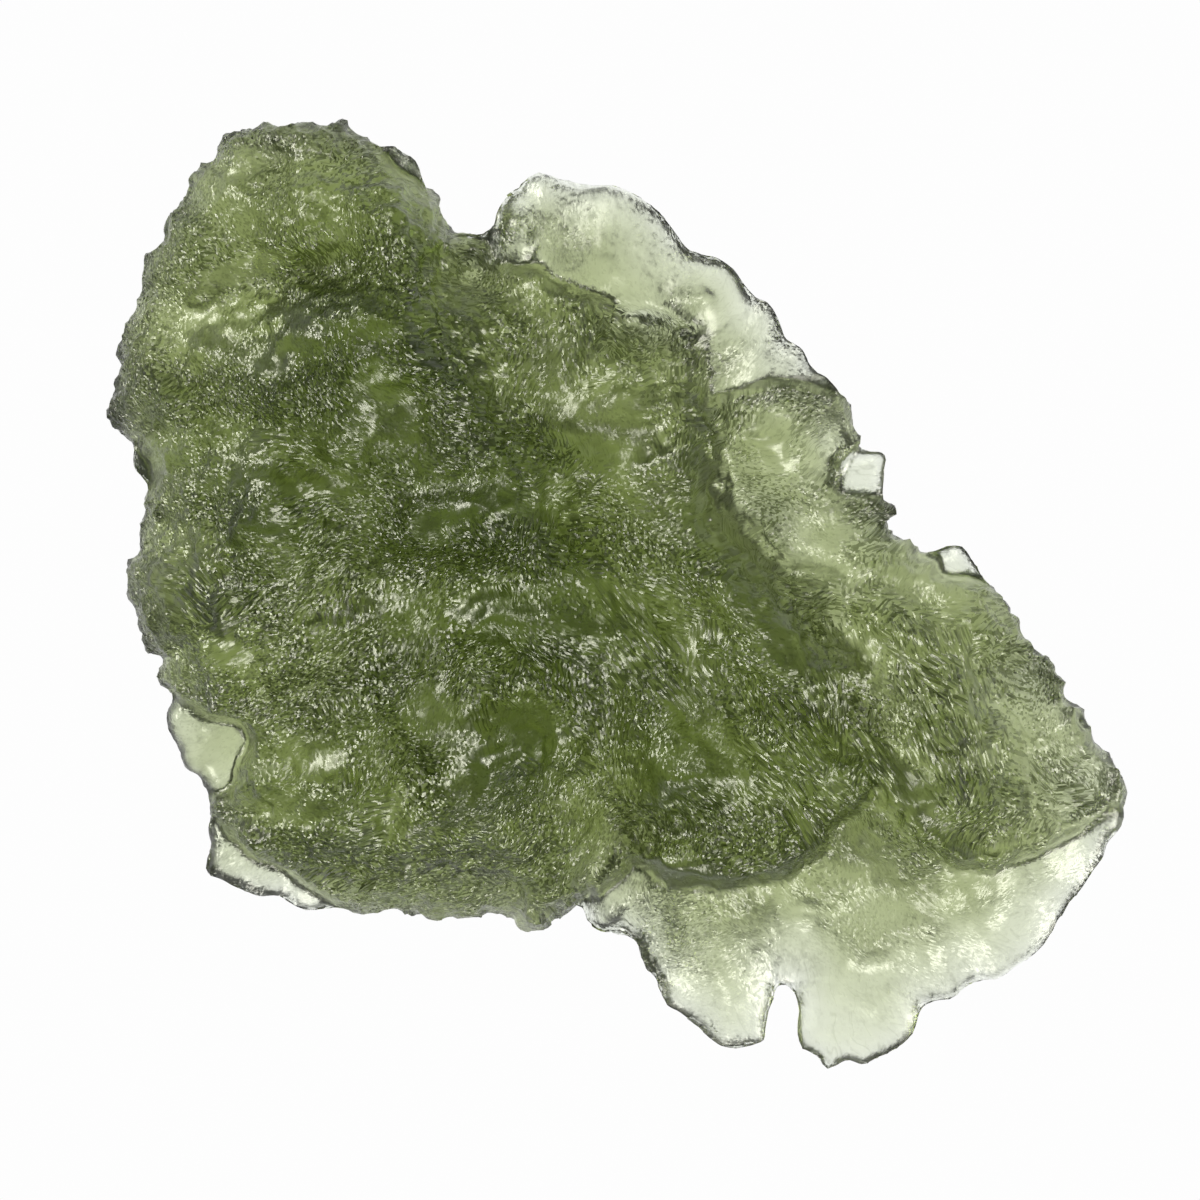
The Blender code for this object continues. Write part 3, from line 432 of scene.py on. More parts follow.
# The floor and the studio: name, place, side and brightness of each softbox
FLOOR_GLOW = 0.985
FLOOR_SIZE = 4.0
FLOOR_DROP = 0.02 * MM
POOL_INNER = 24.0 * MM
POOL_OUTER = 70.0 * MM
POOL_FAINT = 0.3
STUDIO_GREY = (0.13, 0.13, 0.13, 1.0)
SOFTBOX_COLOUR = (1.0, 1.0, 0.84)
SOFTBOX_BOUNCES = 3
SOFTBOXES = [
    ("softbox_left", (-0.44, 0.32, 0.31), 0.30, 20.0),
    ("softbox_right", (0.46, -0.20, 0.30), 0.27, 17.0),
    ("softbox_low", (-0.10, -0.50, 0.34), 0.24, 16.0),
    ("softbox_top", (0.14, 0.40, 0.50), 0.20, 14.0),
]


def plan(points):
    """Pixels of the view from above, as metres about the middle of the outline."""
    pixels = np.array(points, dtype=float)
    x = (pixels[:, 0] - (OUTLINE_LEFT + OUTLINE_RIGHT) / 2) * METRES_PER_PIXEL
    y = ((OUTLINE_TOP + OUTLINE_BOTTOM) / 2 - pixels[:, 1]) * METRES_PER_PIXEL
    return np.column_stack([x, y])


def outline():
    """The whole rim of the stone, in metres."""
    return plan(TOP_SHOULDER + UPPER_LEDGE + RIGHT_STEPS + RIGHT_RIM + FLANGE + TONGUE
                + BOTTOM_RIM + LOWER_LEDGES + LEFT_RIM)


def crown_outline():
    """The edge of the thick crown, in metres."""
    return plan(CROWN_TOP + CROWN_RIGHT + CROWN_BOTTOM + CROWN_LEFT)


def smooth_step(value):
    """0 below 0, 1 above 1 and an S curve between."""
    t = np.clip(value, 0.0, 1.0)
    return t * t * (3.0 - 2.0 * t)


def at_least(least, share):
    """A share from 0 to 1, carried over to the range from the least value to 1."""
    return least + (1.0 - least) * share


def turned(x, y, cx, cy, angle):
    """How far each point lies from a centre along the axis at that angle, and across the axis."""
    along = (x - cx) * np.cos(angle) + (y - cy) * np.sin(angle)
    across = (y - cy) * np.cos(angle) - (x - cx) * np.sin(angle)
    return along, across


def inward_distance(x, y, loop):
    """Distance from each point to a closed loop, positive inside it and negative outside."""
    nearest = np.full(x.shape, np.inf)
    crossings = np.zeros(x.shape, dtype=int)
    for (ax, ay), (bx, by) in zip(loop, np.roll(loop, -1, axis=0)):
        ex, ey = bx - ax, by - ay
        along = np.clip(((x - ax) * ex + (y - ay) * ey) / (ex * ex + ey * ey), 0.0, 1.0)
        nearest = np.minimum(nearest, np.hypot(x - ax - along * ex, y - ay - along * ey))
        if ay != by:
            spans = (ay > y) != (by > y)
            crossings += spans & (x < ax + (y - ay) * ex / ey)
    return np.where(crossings % 2 == 1, nearest, -nearest)


def within_ovals(x, y, ovals):
    """For each listed oval, the points' places along and across it in its half widths, and its
    value."""
    for (cx, cy), (_, _, length, width, turn, value) in zip(plan([oval[:2] for oval in ovals]), ovals):
        along, across = turned(x, y, cx, cy, np.radians(turn))
        yield along / (length * MM), across / (width * MM), value


def form_height(x, y, forms):
    """Sum of soft oval lumps and dishes, each a bell curve across its two half widths."""
    total = np.zeros_like(x)
    for along, across, height in within_ovals(x, y, forms):
        total += height * MM * np.exp(-BELL_STEEPNESS * (along ** 2 + across ** 2))
    return total


def gentle_waves(x, y, wavelength, seed):
    """Four crossing sine waves of random direction and phase, between about -1 and 1."""
    chance = np.random.RandomState(seed)
    total = np.zeros_like(x)
    for angle, phase, stretch in chance.uniform((0.0, 0.0, 0.7), (np.pi, 2 * np.pi, 1.4), (4, 3)):
        along = x * np.cos(angle) + y * np.sin(angle)
        total += np.sin(2 * np.pi * along / (wavelength * stretch) + phase)
    return total / WAVE_SUM


def ledge_gauge(x, y):
    """Ledge thickness and lift at each point, weighed from the gauge points by nearness."""
    weights = np.zeros_like(x)
    thickness = np.zeros_like(x)
    lift = np.zeros_like(x)
    centres = plan([gauge[:2] for gauge in LEDGE_GAUGES])
    for (cx, cy), (_, _, gauge_thickness, gauge_lift) in zip(centres, LEDGE_GAUGES):
        weight = 1.0 / (((x - cx) ** 2 + (y - cy) ** 2) / MM ** 2 + GAUGE_SOFTNESS) ** GAUGE_FALLOFF
        weights += weight
        thickness += weight * gauge_thickness * MM
        lift += weight * gauge_lift * MM
    return thickness / weights, lift / weights


def hollow_crests(x, y, pitch, depth, seed):
    """Hollows with sharp crests between them: the height grows with the square of the distance
    to the nearest hollow's middle, measured shorter along the direction away from the flow centre."""
    chance = np.random.RandomState(seed)
    half = STONE_WIDTH * HOLLOW_FIELD
    steps = np.arange(-half, half, pitch)
    grid_x, grid_y = np.meshgrid(steps, steps)
    jitter = (-HOLLOW_JITTER, HOLLOW_JITTER, grid_x.shape)
    middle_x = (grid_x + chance.uniform(*jitter) * pitch).ravel()
    middle_y = (grid_y + chance.uniform(*jitter) * pitch).ravel()
    strength = chance.uniform(*HOLLOW_STRENGTH, middle_x.size)
    centre_x, centre_y = plan([FLOW_CENTRE])[0]
    flow = np.arctan2(middle_y - centre_y, middle_x - centre_x)
    flow += chance.normal(0.0, HOLLOW_SWERVE, flow.size)
    nearest = np.full(x.shape, np.inf)
    deepness = np.zeros_like(x)
    for mx, my, angle, power in zip(middle_x, middle_y, flow, strength):
        along, across = turned(x, y, mx, my, angle)
        distance = np.hypot(along / FLOW_STRETCH, across)
        closer = distance < nearest
        nearest = np.where(closer, distance, nearest)
        deepness = np.where(closer, power, deepness)
    bowl = np.clip(nearest / (HOLLOW_REACH * pitch), 0.0, 1.0) ** 2
    return depth * deepness * (bowl - 0.5)


def etched_relief(x, y, seed):
    """Large and small hollows of one face."""
    large = hollow_crests(x, y, LARGE_HOLLOW, LARGE_HOLLOW_DEPTH, seed)
    small = hollow_crests(x, y, SMALL_HOLLOW, SMALL_HOLLOW_DEPTH, seed + 1)
    return large + small


def rest_spot_reach(x, y):
    """0 in the middle of the resting spot, 1 on its oval edge and growing outside it."""
    cx, cy = plan([REST_SPOT])[0]
    along, across = turned(x, y, cx, cy, np.radians(REST_SPOT_TURN))
    return np.hypot(along / (REST_SPOT_LENGTH / 2), across / (REST_SPOT_WIDTH / 2))


def crown_share(x, y):
    """1 on the thick crown, 0 on the ledges, chips and flanges."""
    return smooth_step(0.5 + inward_distance(x, y, crown_outline()) / CROWN_STEP_WIDTH)


def face_heights(x, y):
    """Heights of the upper and lower face over each point of the plan: a crown that swells inwards
    and carries the forms, ledges of their gauge's thickness, a bowl around the flat spot, hollows
    in both faces, and a rim rounded as an oval."""
    rim = np.maximum(inward_distance(x, y, outline()), 0.0)
    crown = crown_share(x, y)
    swell = 1.0 - np.exp(-rim / CROWN_SHOULDER)
    crown_thickness = CROWN_RIM_THICKNESS + (CROWN_MIDDLE_THICKNESS - CROWN_RIM_THICKNESS) * swell
    crown_thickness += form_height(x, y, UPPER_FORMS)
    ledge_thickness, lift = ledge_gauge(x, y)
    thickness = crown * crown_thickness + (1.0 - crown) * ledge_thickness
    relief = np.clip(thickness / FULL_RELIEF_THICKNESS, LEAST_RELIEF, 1.0) ** RELIEF_POWER
    depth_in = np.clip(rim / np.maximum(EDGE_ROUNDING * thickness, EDGE_THICKNESS), 0.0, 1.0)
    rounding = np.sqrt(1.0 - (1.0 - depth_in) ** 2)

    reach = rest_spot_reach(x, y)
    outside = np.maximum(reach - 1.0, 0.0) * REST_SPOT_LENGTH / 2
    bowl = BOWL_RISE * (1.0 - np.exp(-(outside / BOWL_REACH) ** BOWL_POWER))
    away = smooth_step((reach - 1.0) / REST_FADE)
    bowl += WARP * away * bowl / BOWL_RISE * gentle_waves(x, y, WARP_LENGTH, SEEDS["warp"])
    hollows = etched_relief(x, y, SEEDS["under"]) * UNDER_RELIEF - form_height(x, y, UNDER_FORMS)
    under = bowl - BOWL_SINK * (1.0 - away) - away * relief * hollows
    under += (1.0 - crown) * lift

    edge_waves = gentle_waves(x, y, EDGE_WANDER_LENGTH, SEEDS["edge"])
    edge_level = EDGE_LEVEL + EDGE_LEVEL_WANDER * edge_waves
    lower = under + edge_level * thickness * (1.0 - rounding)
    upper = under + thickness - (1.0 - edge_level) * thickness * (1.0 - rounding)
    upper += relief * rounding * etched_relief(x, y, SEEDS["upper"])
    lower = np.maximum(lower, 0.0)
    upper = np.maximum(upper, lower + EDGE_THICKNESS)
    return upper, lower


def flow_angle(x, y):
    """Direction of the etched strokes: outwards from the flow centre, but along a direction of
    their own in the places listed. Directions are averaged at twice their angle, because a stroke
    has no front end."""
    flow_x, flow_y = plan([FLOW_CENTRE])[0]
    outward = 2.0 * np.arctan2(y - flow_y, x - flow_x)
    lean_x, lean_y = np.cos(outward), np.sin(outward)
    centres = plan([place[:2] for place in STROKE_PLACES])
    for (cx, cy), (_, _, reach, turn) in zip(centres, STROKE_PLACES):
        pull = STROKE_PULL * smooth_step(STROKE_REACH - np.hypot(x - cx, y - cy) / (reach * MM))
        lean_x = lean_x + pull * np.cos(2.0 * np.radians(turn))
        lean_y = lean_y + pull * np.sin(2.0 * np.radians(turn))
    return 0.5 * np.arctan2(lean_y, lean_x)


def nearest_cell(points, pitch, stretch, wander, seed):
    """The nearest of a jittered grid of middles in space. Gives the distance to it, measured
    shorter along the middle's own long axis, that axis's angle, the middle's place, and two random
    numbers from 0 to 1 which belong to it."""
    chance = np.random.RandomState(seed)
    low = points.min(axis=0) - CELL_MARGIN * pitch
    counts = np.ceil((points.max(axis=0) + CELL_MARGIN * pitch - low) / pitch).astype(int)
    jitter = chance.uniform(*CELL_JITTER, (*counts, 3))
    numbers = chance.uniform(0.0, 1.0, (*counts, 2))
    lean = chance.normal(0.0, wander, counts)
    grid = np.stack(np.meshgrid(*[np.arange(count) for count in counts], indexing="ij"), axis=-1)
    middles = low + (grid + jitter) * pitch
    angles = flow_angle(middles[..., 0], middles[..., 1]) + lean
    home = np.floor((points - low) / pitch).astype(int)
    distance = np.full(len(points), np.inf)
    angle = np.zeros(len(points))
    place = np.zeros((len(points), 3))
    own = np.zeros((len(points), 2))
    reach = 2 if stretch > LONG_CELL else 1
    for step_x in range(-reach, reach + 1):
        for step_y in range(-reach, reach + 1):
            for step_z in (-1, 0, 1):
                index = tuple(np.clip(home + (step_x, step_y, step_z), 0, counts - 1).T)
                away = points - middles[index]
                lying = angles[index]
                along, across = turned(away[:, 0], away[:, 1], 0.0, 0.0, lying)
                here = np.sqrt((along / stretch) ** 2 + across ** 2 + away[:, 2] ** 2)
                closer = here < distance
                distance = np.where(closer, here, distance)
                angle = np.where(closer, lying, angle)
                place = np.where(closer[:, None], middles[index], place)
                own = np.where(closer[:, None], numbers[index], own)
    return distance, angle, place, own


def etched_hollows(points, pitch, depth, stretch, seed):
    """Small hollows of differing depth: the height grows with the square of the distance to the
    nearest hollow's middle."""
    distance, _, _, own = nearest_cell(points, pitch, stretch, FINE_WANDER, seed)
    bowl = np.clip(distance / (FINE_REACH * pitch / np.sqrt(stretch)), 0.0, 1.0) ** 2
    return depth * (FINE_LEAST + FINE_GAIN * own[:, 0]) * (bowl - 0.5)


def stroke_patches(mesh, name, pitch, stretch, wander, weakest, seed):
    """Part the skin into patches and write each face's stroke direction and strength as the
    attribute of that name: cosine, sine, strength. The patches' borders are bent by waves. Gives
    how streaky each face's patch is, from the streak places at the patch's middle."""
    x, y, z = read_vectors(mesh.polygons, "center").T
    bend = PATCH_BEND * pitch
    bent = np.column_stack([x + bend * gentle_waves(x, y, pitch, seed),
                            y + bend * gentle_waves(y, x, pitch, seed + 1), z])
    _, angle, place, own = nearest_cell(bent, pitch, stretch, wander, seed)
    ways = np.column_stack([np.cos(angle), np.sin(angle), at_least(weakest, own[:, 1])])
    attribute = mesh.attributes.new(name, "FLOAT_VECTOR", "FACE")
    attribute.data.foreach_set("vector", ways.astype(np.float32).ravel())
    return oval_places(place[:, 0], place[:, 1], STREAK_PLACES) * at_least(LEAST_STREAK, own[:, 0])


def oval_places(x, y, places):
    """The strongest of the soft oval places over each point: an oval's own strength in its middle,
    fading in an S curve to 0 where it ends."""
    total = np.zeros_like(x)
    for along, across, strength in within_ovals(x, y, places):
        fade = smooth_step((OVAL_END - np.hypot(along, across)) / OVAL_FADE)
        total = np.maximum(total, strength * fade)
    return total


def place_object(name, data):
    """A new object in the scene."""
    made = bpy.data.objects.new(name, data)
    bpy.context.scene.collection.objects.link(made)
    return made


def outline_slab():
    """The flat outline as a thin closed slab, centred on z = 0."""
    curve = bpy.data.curves.new("stone_outline", "CURVE")
    curve.dimensions = "2D"
    curve.fill_mode = "BOTH"
    curve.extrude = SLAB_THICKNESS / 2
    rim = outline()
    spline = curve.splines.new("POLY")
    spline.points.add(len(rim) - 1)
    corners = np.column_stack([rim, np.zeros(len(rim)), np.ones(len(rim))])
    spline.points.foreach_set("co", corners.ravel())
    spline.use_cyclic_u = True
    holder = place_object("stone_outline", curve)
    mesh = finished_mesh(holder)
    bpy.data.objects.remove(holder)
    work = bmesh.new()
    work.from_mesh(mesh)
    bmesh.ops.remove_doubles(work, verts=work.verts, dist=WELD_REACH)
    bmesh.ops.recalc_face_normals(work, faces=work.faces)
    work.to_mesh(mesh)
    work.free()
    return mesh


def finished_mesh(thing):
    """An object's mesh with its modifiers carried out."""
    bpy.context.view_layer.update()
    graph = bpy.context.evaluated_depsgraph_get()
    return bpy.data.meshes.new_from_object(thing.evaluated_get(graph))


def even_skin(mesh, voxel):
    """A mesh remeshed into small even faces."""
    holder = place_object("skin", mesh)
    remesh = holder.modifiers.new("even skin", "REMESH")
    remesh.mode = "VOXEL"
    remesh.voxel_size = voxel
    skin = finished_mesh(holder)
    bpy.data.objects.remove(holder)
    return skin


def read_vectors(items, name):
    """Points, normals or face middles of a mesh as an array of rows."""
    values = np.empty(len(items) * 3, dtype=np.float32)
    items.foreach_get(name, values)
    return values.reshape(-1, 3).astype(float)


def write_points(mesh, points):
    """Put an array of rows back as a mesh's points."""
    mesh.vertices.foreach_set("co", points.astype(np.float32).ravel())
    mesh.update()


def raised_stone():
    """The slab's skin with its faces moved to the heights of the stone."""
    mesh = even_skin(outline_slab(), FIRST_VOXEL)
    points = read_vectors(mesh.vertices, "co")
    level = np.clip(points[:, 2] / SLAB_THICKNESS + 0.5, 0.0, 1.0)
    upper, lower = face_heights(points[:, 0], points[:, 1])
    points[:, 2] = lower + level * (upper - lower)
    write_points(mesh, points)
    return mesh


def write_values(mesh, name, values, domain="POINT"):
    """Keep one number per point or face under a name."""
    attribute = mesh.attributes.new(name, "FLOAT", domain)
    attribute.data.foreach_set("value", values.astype(np.float32))


def sharpened_ledges(points, crown, ledge_thickness):
    """Heights with the ledges drawn out to a knife edge: both faces close in on the middle height
    with a power of the distance from the rim, over a width that grows with the thickness. The
    blunt places keep most of their thickness."""
    x, y, z = points.T
    upper, lower = face_heights(x, y)
    middle = (upper + lower) / 2
    inward = np.maximum(inward_distance(x, y, outline()), 0.0)
    fullness = np.clip(inward / (KNIFE_SLOPE * ledge_thickness), 0.0, 1.0) ** KNIFE_CURVE
    fullness = np.maximum(fullness, KNIFE_BLUNTNESS)
    fullness = at_least(fullness, oval_places(x, y, BLUNT_PLACES))
    return middle + (z - middle) * at_least(crown, fullness)


def etch(mesh):
    """Cut the fine etching into the skin along its normals, less where the stone is smooth or
    thin, deeper along the rim, and keep the resting spot flat."""
    points = read_vectors(mesh.vertices, "co")
    normals = read_vectors(mesh.vertex_normals, "vector")
    x, y, z = points.T
    facing = normals[:, 2] * FACING_STEEPNESS
    upward = smooth_step(facing)
    smooth = oval_places(x, y, SMOOTH_PLACES) * upward
    # Shaded places etch deeper, and in the glass more of their cells are darkened by painted shade
    shaded = oval_places(x, y, SHADED_PLACES) * smooth_step(facing + SHADE_AROUND)
    crown = crown_share(x, y)
    ledge_thickness, _ = ledge_gauge(x, y)
    stoutness = at_least(crown, np.clip(ledge_thickness / STOUT_THICKNESS, LEAST_STOUTNESS, 1.0))
    patches = ROUGH_MEAN + ROUGH_SWING * gentle_waves(x, y, ROUGH_WAVE, SEEDS["rough"])
    roughened = np.clip(patches, *ROUGH_LIMITS) * (1.0 - SMOOTH_SHARE * smooth)
    roughened = np.maximum(roughened, SHADED_ROUGHNESS * shaded)
    streaks = STREAKY_ROUGHNESS * oval_places(x, y, STREAK_PLACES) * upward
    roughened = np.maximum(roughened, streaks) * at_least(SLIM_ROUGHNESS, stoutness)
    flutes = etched_hollows(points, *FLUTES)
    pits = etched_hollows(points, *PITS)
    grains = etched_hollows(points, *GRAINS)
    teeth = etched_hollows(points, *RIM_TEETH)
    teeth *= smooth_step((1.0 - np.abs(normals[:, 2])) * FACING_STEEPNESS)
    relief = flutes * roughened + pits * roughened + grains * at_least(LEAST_GRAIN, roughened)
    spot = smooth_step((rest_spot_reach(x, y) - SPOT_EDGE) / SPOT_FADE)
    clear = np.clip(z / FLOOR_CLEARANCE, 0.0, 1.0) * spot
    above_floor = np.where(normals[:, 2] < DOWNWARD, clear, 1.0)
    cut = (relief * at_least(SLIM_DEPTH, stoutness) + teeth * stoutness) * above_floor
    points += normals * cut[:, None]
    points[:, 2] = np.maximum(points[:, 2], 0.0)
    points[:, 2] = sharpened_ledges(points, crown, ledge_thickness)
    write_points(mesh, points)
    write_values(mesh, "etched", np.clip(roughened, 0.0, 1.0))
    write_values(mesh, "shaded", shaded)
    write_values(mesh, "slim", 1.0 - stoutness)
    write_values(mesh, "streaky", stroke_patches(mesh, "stroke_way", *STROKE_PATCHES), "FACE")
    stroke_patches(mesh, "grain_way", *GRAIN_PATCHES)


# Materials

def feed(tree, socket, value):
    """Put a value or another node's output into a node's input."""
    if isinstance(value, bpy.types.NodeSocket):
        tree.links.new(value, socket)
    else:
        socket.default_value = value


def add_node(tree, kind, settings=None, **inputs):
    """A shader node of that kind with its settings and its named inputs."""
    made = tree.nodes.new("ShaderNode" + kind)
    for name, value in (settings or {}).items():
        setattr(made, name, value)
    for name, value in inputs.items():
        feed(tree, made.inputs[name.replace("_", " ")], value)
    return made


def sum_of(tree, operation, first, second=0.5):
    """A Math node's result."""
    made = add_node(tree, "Math", {"operation": operation})
    feed(tree, made.inputs[0], first)
    feed(tree, made.inputs[1], second)
    return made.outputs[0]


def product(tree, first, second):
    """Two values multiplied."""
    return sum_of(tree, "MULTIPLY", first, second)


def vector_sum(tree, operation, first, second=(0.0, 0.0, 0.0)):
    """A Vector Math node's result; a scale takes a number as its second value, and a length and a
    dot product give a number."""
    made = add_node(tree, "VectorMath", {"operation": operation})
    feed(tree, made.inputs[0], first)
    feed(tree, made.inputs["Scale" if operation == "SCALE" else 1], second)
    return made.outputs["Value" if operation in ("DOT_PRODUCT", "LENGTH") else "Vector"]


def spread(tree, value, low, high, to_low=0.0, to_high=1.0):
    """A value's range carried over to another range, and kept inside it."""
    made = add_node(tree, "MapRange", Value=value, From_Min=low, From_Max=high,
                    To_Min=to_low, To_Max=to_high)
    return made.outputs[0]


def read_parts(tree, vector):
    """The X, Y and Z of a vector."""
    return add_node(tree, "SeparateXYZ", Vector=vector).outputs


def vector_of(tree, x, y, z=0.0):
    """A vector made of three values."""
    return add_node(tree, "CombineXYZ", X=x, Y=y, Z=z).outputs[0]


def start_group(name, inputs, outputs):
    """A node group with named inputs and outputs, as its tree, inputs and outputs."""
    tree = bpy.data.node_groups.new(name, "ShaderNodeTree")
    for side, sockets in (("INPUT", inputs), ("OUTPUT", outputs)):
        for socket in sockets:
            kind = "NodeSocketVector" if socket in VECTOR_SOCKETS else "NodeSocketFloat"
            tree.interface.new_socket(socket, in_out=side, socket_type=kind)
    return tree, tree.nodes.new("NodeGroupInput").outputs, tree.nodes.new("NodeGroupOutput").inputs


def stroke_axes(tree, direction, rise):
    """The axes along and across a stroke direction, both with the same share of the height."""
    way = read_parts(tree, direction)
    lengthways = vector_of(tree, way["X"], way["Y"], rise)
    sideways = vector_of(tree, product(tree, way["Y"], -1.0), way["X"], rise)
    return lengthways, sideways


def drawn_out(tree, given, lengthways, sideways, breadth):
    """The place measured along and across the stroke, as shares of its length and breadth."""
    along = vector_sum(tree, "DOT_PRODUCT", given["Place"], lengthways)
    across = vector_sum(tree, "DOT_PRODUCT", given["Place"], sideways)
    return vector_of(tree, sum_of(tree, "DIVIDE", along, given["Length"]),
                     sum_of(tree, "DIVIDE", across, breadth))


def etched_facets_group():
    """Fine etching: small flat facets drawn out along the skin's own stroke direction. Each facet
    leans by chance, mostly across the stroke, and Lean tips them all to one side, as scales lie.
    A share of the height, Rise, is mixed into both directions, so that walls are etched too."""
    inputs = ("Place", "Direction", "Normal", "Width", "Length", "Steepness", "Lean", "Rise")
    tree, given, result = start_group("etched facets", inputs, ("Normal", "Chance"))
    lengthways, sideways = stroke_axes(tree, given["Direction"], given["Rise"])
    grid = drawn_out(tree, given, lengthways, sideways, given["Width"])
    cells = add_node(tree, "TexVoronoi", {"voronoi_dimensions": "2D"}, Scale=1.0, Vector=grid)
    own = read_parts(tree, cells.outputs["Color"])
    tip_sideways = sum_of(tree, "ADD", sum_of(tree, "SUBTRACT", own["X"], 0.5), given["Lean"])
    tip_lengthways = product(tree, sum_of(tree, "SUBTRACT", own["Y"], 0.5), FACET_EVENNESS)
    tip = vector_sum(tree, "ADD", vector_sum(tree, "SCALE", sideways, tip_sideways),
                     vector_sum(tree, "SCALE", lengthways, tip_lengthways))
    tip = vector_sum(tree, "SCALE", tip, given["Steepness"])
    turn = {"convert_from": "OBJECT", "convert_to": "WORLD", "vector_type": "VECTOR"}
    tip = add_node(tree, "VectorTransform", turn, Vector=tip).outputs[0]
    leaning = vector_sum(tree, "ADD", given["Normal"], tip)
    feed(tree, result["Normal"], vector_sum(tree, "NORMALIZE", leaning))
    feed(tree, result["Chance"], own["Z"])
    return tree


def crease_lines_group():
    """Thin wandering lines: 1 where a soft noise, drawn out along the stroke direction, passes
    through its middle value, else 0."""
    inputs = ("Place", "Direction", "Pitch", "Length", "Width")
    tree, given, result = start_group("crease lines", inputs, ("Line",))
    lengthways, sideways = stroke_axes(tree, given["Direction"], 0.0)
    drawn = drawn_out(tree, given, lengthways, sideways, given["Pitch"])
    noise = add_node(tree, "TexNoise", {"noise_dimensions": "2D"}, Vector=drawn,
                     Detail=CREASE_DETAIL, Scale=1.0).outputs["Fac"]
    off = sum_of(tree, "ABSOLUTE", sum_of(tree, "SUBTRACT", noise, 0.5))
    feed(tree, result["Line"], sum_of(tree, "SUBTRACT", 1.0, spread(tree, off, 0.0, given["Width"])))
    return tree


def mix_colour(tree, share, first, second):
    """Two colours mixed by a share from 0 to 1."""
    made = add_node(tree, "Mix", {"data_type": "RGBA"})
    feed(tree, made.inputs[0], share)
    feed(tree, made.inputs[6], first)
    feed(tree, made.inputs[7], second)
    return made.outputs[2]


def skin_value(tree, name, output="Fac"):
    """One of the skin's own values."""
    return add_node(tree, "Attribute", {"attribute_name": name}).outputs[output]


def stone_glass():
    """Olive-green glass: clear inside, coloured by absorption, etched on the outside, with painted
    crevice shade in its base colour.
    """
    material = bpy.data.materials.new("moldavite glass")
    material.use_nodes = True
    tree = material.node_tree
    shader = tree.nodes["Principled BSDF"]
    output = tree.nodes["Material Output"]
    place = add_node(tree, "TexCoord").outputs["Object"]
    place = vector_sum(tree, "SCALE", place, 1.0 / MM)
    values = ("etched", "shaded", "slim", "streaky")
    etched, shaded, slim, streaky = [skin_value(tree, value) for value in values]
    coarse = skin_value(tree, "stroke_way", "Vector")
    fine = skin_value(tree, "grain_way", "Vector")
    facets = {"node_tree": etched_facets_group()}
    grain = add_node(tree, "Group", facets, Place=place, Direction=fine,
                     Width=GRAIN_WIDTH, Length=GRAIN_LENGTH, Lean=0.0, Rise=WALL_RISE,
                     Normal=add_node(tree, "NewGeometry").outputs["Normal"],
                     Steepness=product(tree, etched, GRAIN_STEEPNESS)).outputs
    stout = sum_of(tree, "SUBTRACT", 1.0, slim)
    strength = read_parts(tree, coarse)["Z"]
    steepness = product(tree, spread(tree, etched, *ETCHED_STEEPNESS),
                        spread(tree, stout, *STOUT_STEEPNESS))
    stroke = add_node(tree, "Group", facets, Place=place, Direction=coarse,
                      Width=STROKE_WIDTH, Length=spread(tree, streaky, *STREAKY_LENGTHS),
                      Rise=spread(tree, streaky, *STREAKY_RISES), Normal=grain["Normal"],
                      Steepness=product(tree, steepness, strength),
                      Lean=spread(tree, strength, *PATCH_LEANS)).outputs
    tree.links.new(stroke["Normal"], shader.inputs["Normal"])

    # Painted shade: a share of the etched cells, larger in etched and shaded places, is darkened as
    # crevices would be
    share = sum_of(tree, "ADD", product(tree, etched, ETCHED_SHADE), product(tree, shaded, PLACE_SHADE))
    share = sum_of(tree, "ADD", share, LEAST_SHADE)
    over = sum_of(tree, "SUBTRACT", sum_of(tree, "ADD", stroke["Chance"], share), 1.0)
    depth = product(tree, spread(tree, etched, *ETCHED_CREVICES),
                    spread(tree, stout, *STOUT_CREVICES))
    dark = product(tree, spread(tree, over, 0.0, CREVICE_EDGE), depth)
    base_with_painted_shade = mix_colour(tree, dark, PIT_TINT, CREVICE_SHADE_COLOUR)
    # Painted shade on random grains of the etched skin
    painted_grain_shade = product(tree, product(tree, grain["Chance"], etched), GRAIN_SHADE)
    base_with_painted_shade = mix_colour(tree, painted_grain_shade, base_with_painted_shade, CREVICE_SHADE_COLOUR)
    # Painted shade: dark crease lines on the thin ledges
    creases = add_node(tree, "Group", {"node_tree": crease_lines_group()}, Place=place,
                       Direction=coarse, Pitch=CREASE_PITCH, Length=CREASE_LENGTH, Width=CREASE_WIDTH)
    crease = product(tree, creases.outputs["Line"], product(tree, slim, CREASE_SHADE))
    base_with_painted_shade = mix_colour(tree, crease, base_with_painted_shade, CREVICE_SHADE_COLOUR)
    tree.links.new(base_with_painted_shade, shader.inputs["Base Color"])
    rough = spread(tree, grain["Chance"], *ROUGHNESS_RANGE)
    tree.links.new(rough, shader.inputs["Roughness"])
    shader.inputs["IOR"].default_value = IOR
    shader.inputs["Transmission Weight"].default_value = 1.0
    inner = add_node(tree, "VolumeAbsorption", Color=ABSORPTION_COLOUR,
                     Density=ABSORPTION_DENSITY)
    tree.links.new(inner.outputs[0], output.inputs["Volume"])
    return material


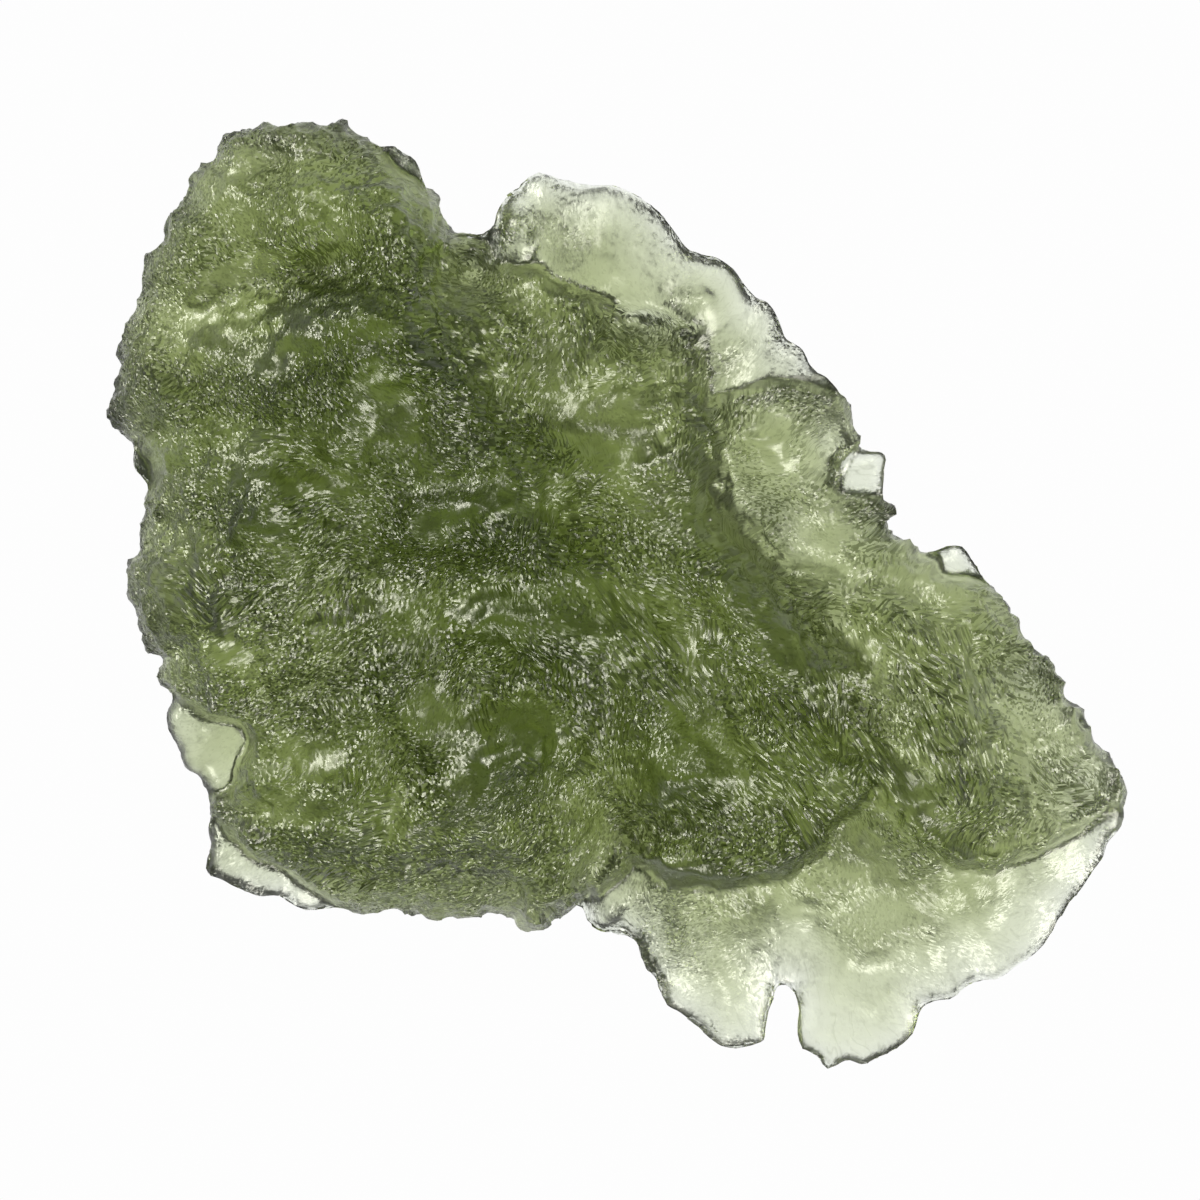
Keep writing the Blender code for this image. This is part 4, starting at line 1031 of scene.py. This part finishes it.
def floor_material():
    """A plain white floor, lit evenly to the eye, whose light on the stone fades outwards."""
    material = bpy.data.materials.new("lit floor")
    material.use_nodes = True
    tree = material.node_tree
    tree.nodes.remove(tree.nodes["Principled BSDF"])
    place = add_node(tree, "TexCoord").outputs["Object"]
    far = vector_sum(tree, "LENGTH", place)
    pool = spread(tree, far, POOL_INNER, POOL_OUTER, FLOOR_GLOW, POOL_FAINT)
    seen = add_node(tree, "LightPath").outputs["Is Camera Ray"]
    glow = add_node(tree, "Mix", {"data_type": "FLOAT"})
    feed(tree, glow.inputs[0], seen)
    feed(tree, glow.inputs[2], pool)
    feed(tree, glow.inputs[3], FLOOR_GLOW)
    light = add_node(tree, "Emission", Color=(1.0, 1.0, 1.0, 1.0), Strength=glow.outputs[0])
    tree.links.new(light.outputs[0], tree.nodes["Material Output"].inputs["Surface"])
    material.cycles.emission_sampling = "NONE"
    return material


# The stage

def make_floor():
    """A wide floor just under the stone."""
    half = FLOOR_SIZE / 2
    corners = [(-half, -half, -FLOOR_DROP), (half, -half, -FLOOR_DROP),
               (half, half, -FLOOR_DROP), (-half, half, -FLOOR_DROP)]
    mesh = bpy.data.meshes.new("floor")
    mesh.from_pydata(corners, [], [(0, 1, 2, 3)])
    mesh.materials.append(floor_material())
    floor = place_object("floor", mesh)


def make_world():
    """A pale backdrop to the camera and a dim grey studio to everything else."""
    world = bpy.data.worlds.new("studio")
    bpy.context.scene.world = world
    world.use_nodes = True
    world.cycles.sampling_method = "NONE"
    tree = world.node_tree
    seen = add_node(tree, "Background", Color=(1.0, 1.0, 1.0, 1.0), Strength=FLOOR_GLOW)
    felt = tree.nodes["Background"]
    felt.inputs["Color"].default_value = STUDIO_GREY
    felt.inputs["Strength"].default_value = 1.0
    pick = add_node(tree, "MixShader")
    feed(tree, pick.inputs[0], add_node(tree, "LightPath").outputs["Is Camera Ray"])
    feed(tree, pick.inputs[1], felt.outputs[0])
    feed(tree, pick.inputs[2], seen.outputs[0])
    tree.links.new(pick.outputs[0], tree.nodes["World Output"].inputs["Surface"])


def make_light(name, place, side, brightness):
    """A square softbox that looks at the stone; its power is its brightness times pi times its
    area."""
    data = bpy.data.lights.new(name, "AREA")
    data.size = side
    data.energy = brightness * np.pi * side * side
    data.color = SOFTBOX_COLOUR
    data.cycles.max_bounces = SOFTBOX_BOUNCES
    light = place_object(name, data)
    light.location = place
    light.rotation_euler = (-Vector(place)).to_track_quat("-Z", "Y").to_euler()


def set_stage():
    """Floor, backdrop and softboxes."""
    make_floor()
    make_world()
    for name, place, side, brightness in SOFTBOXES:
        make_light(name, place, side, brightness)
    bpy.context.scene.view_settings.view_transform = "Standard"


def make_camera():
    """A long lens straight above the stone, framed as the picture is."""
    centre_x, centre_y = plan([(PICTURE / 2, PICTURE / 2)])[0]
    data = bpy.data.cameras.new("camera")
    data.lens = LENS_MM
    data.sensor_width = SENSOR_MM
    data.clip_start = CLIP_START
    data.clip_end = CLIP_END
    camera = place_object("camera", data)
    distance = PICTURE * METRES_PER_PIXEL * LENS_MM / SENSOR_MM
    camera.location = (centre_x, centre_y, OUTLINE_PLANE + distance)
    bpy.context.scene.camera = camera


def make_stone():
    """The dressed stone, in place of the CAD solid."""
    mesh = even_skin(raised_stone(), SKIN_VOXEL)
    etch(mesh)
    mesh.shade_smooth()
    mesh.set_sharp_from_angle(angle=np.radians(SHARP_ANGLE))
    mesh.materials.clear()
    mesh.materials.append(stone_glass())
    stone = place_object("etched_stone", mesh)
    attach(stone, "root")
    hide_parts("moldavite")


make_stone()
set_stage()
make_camera()
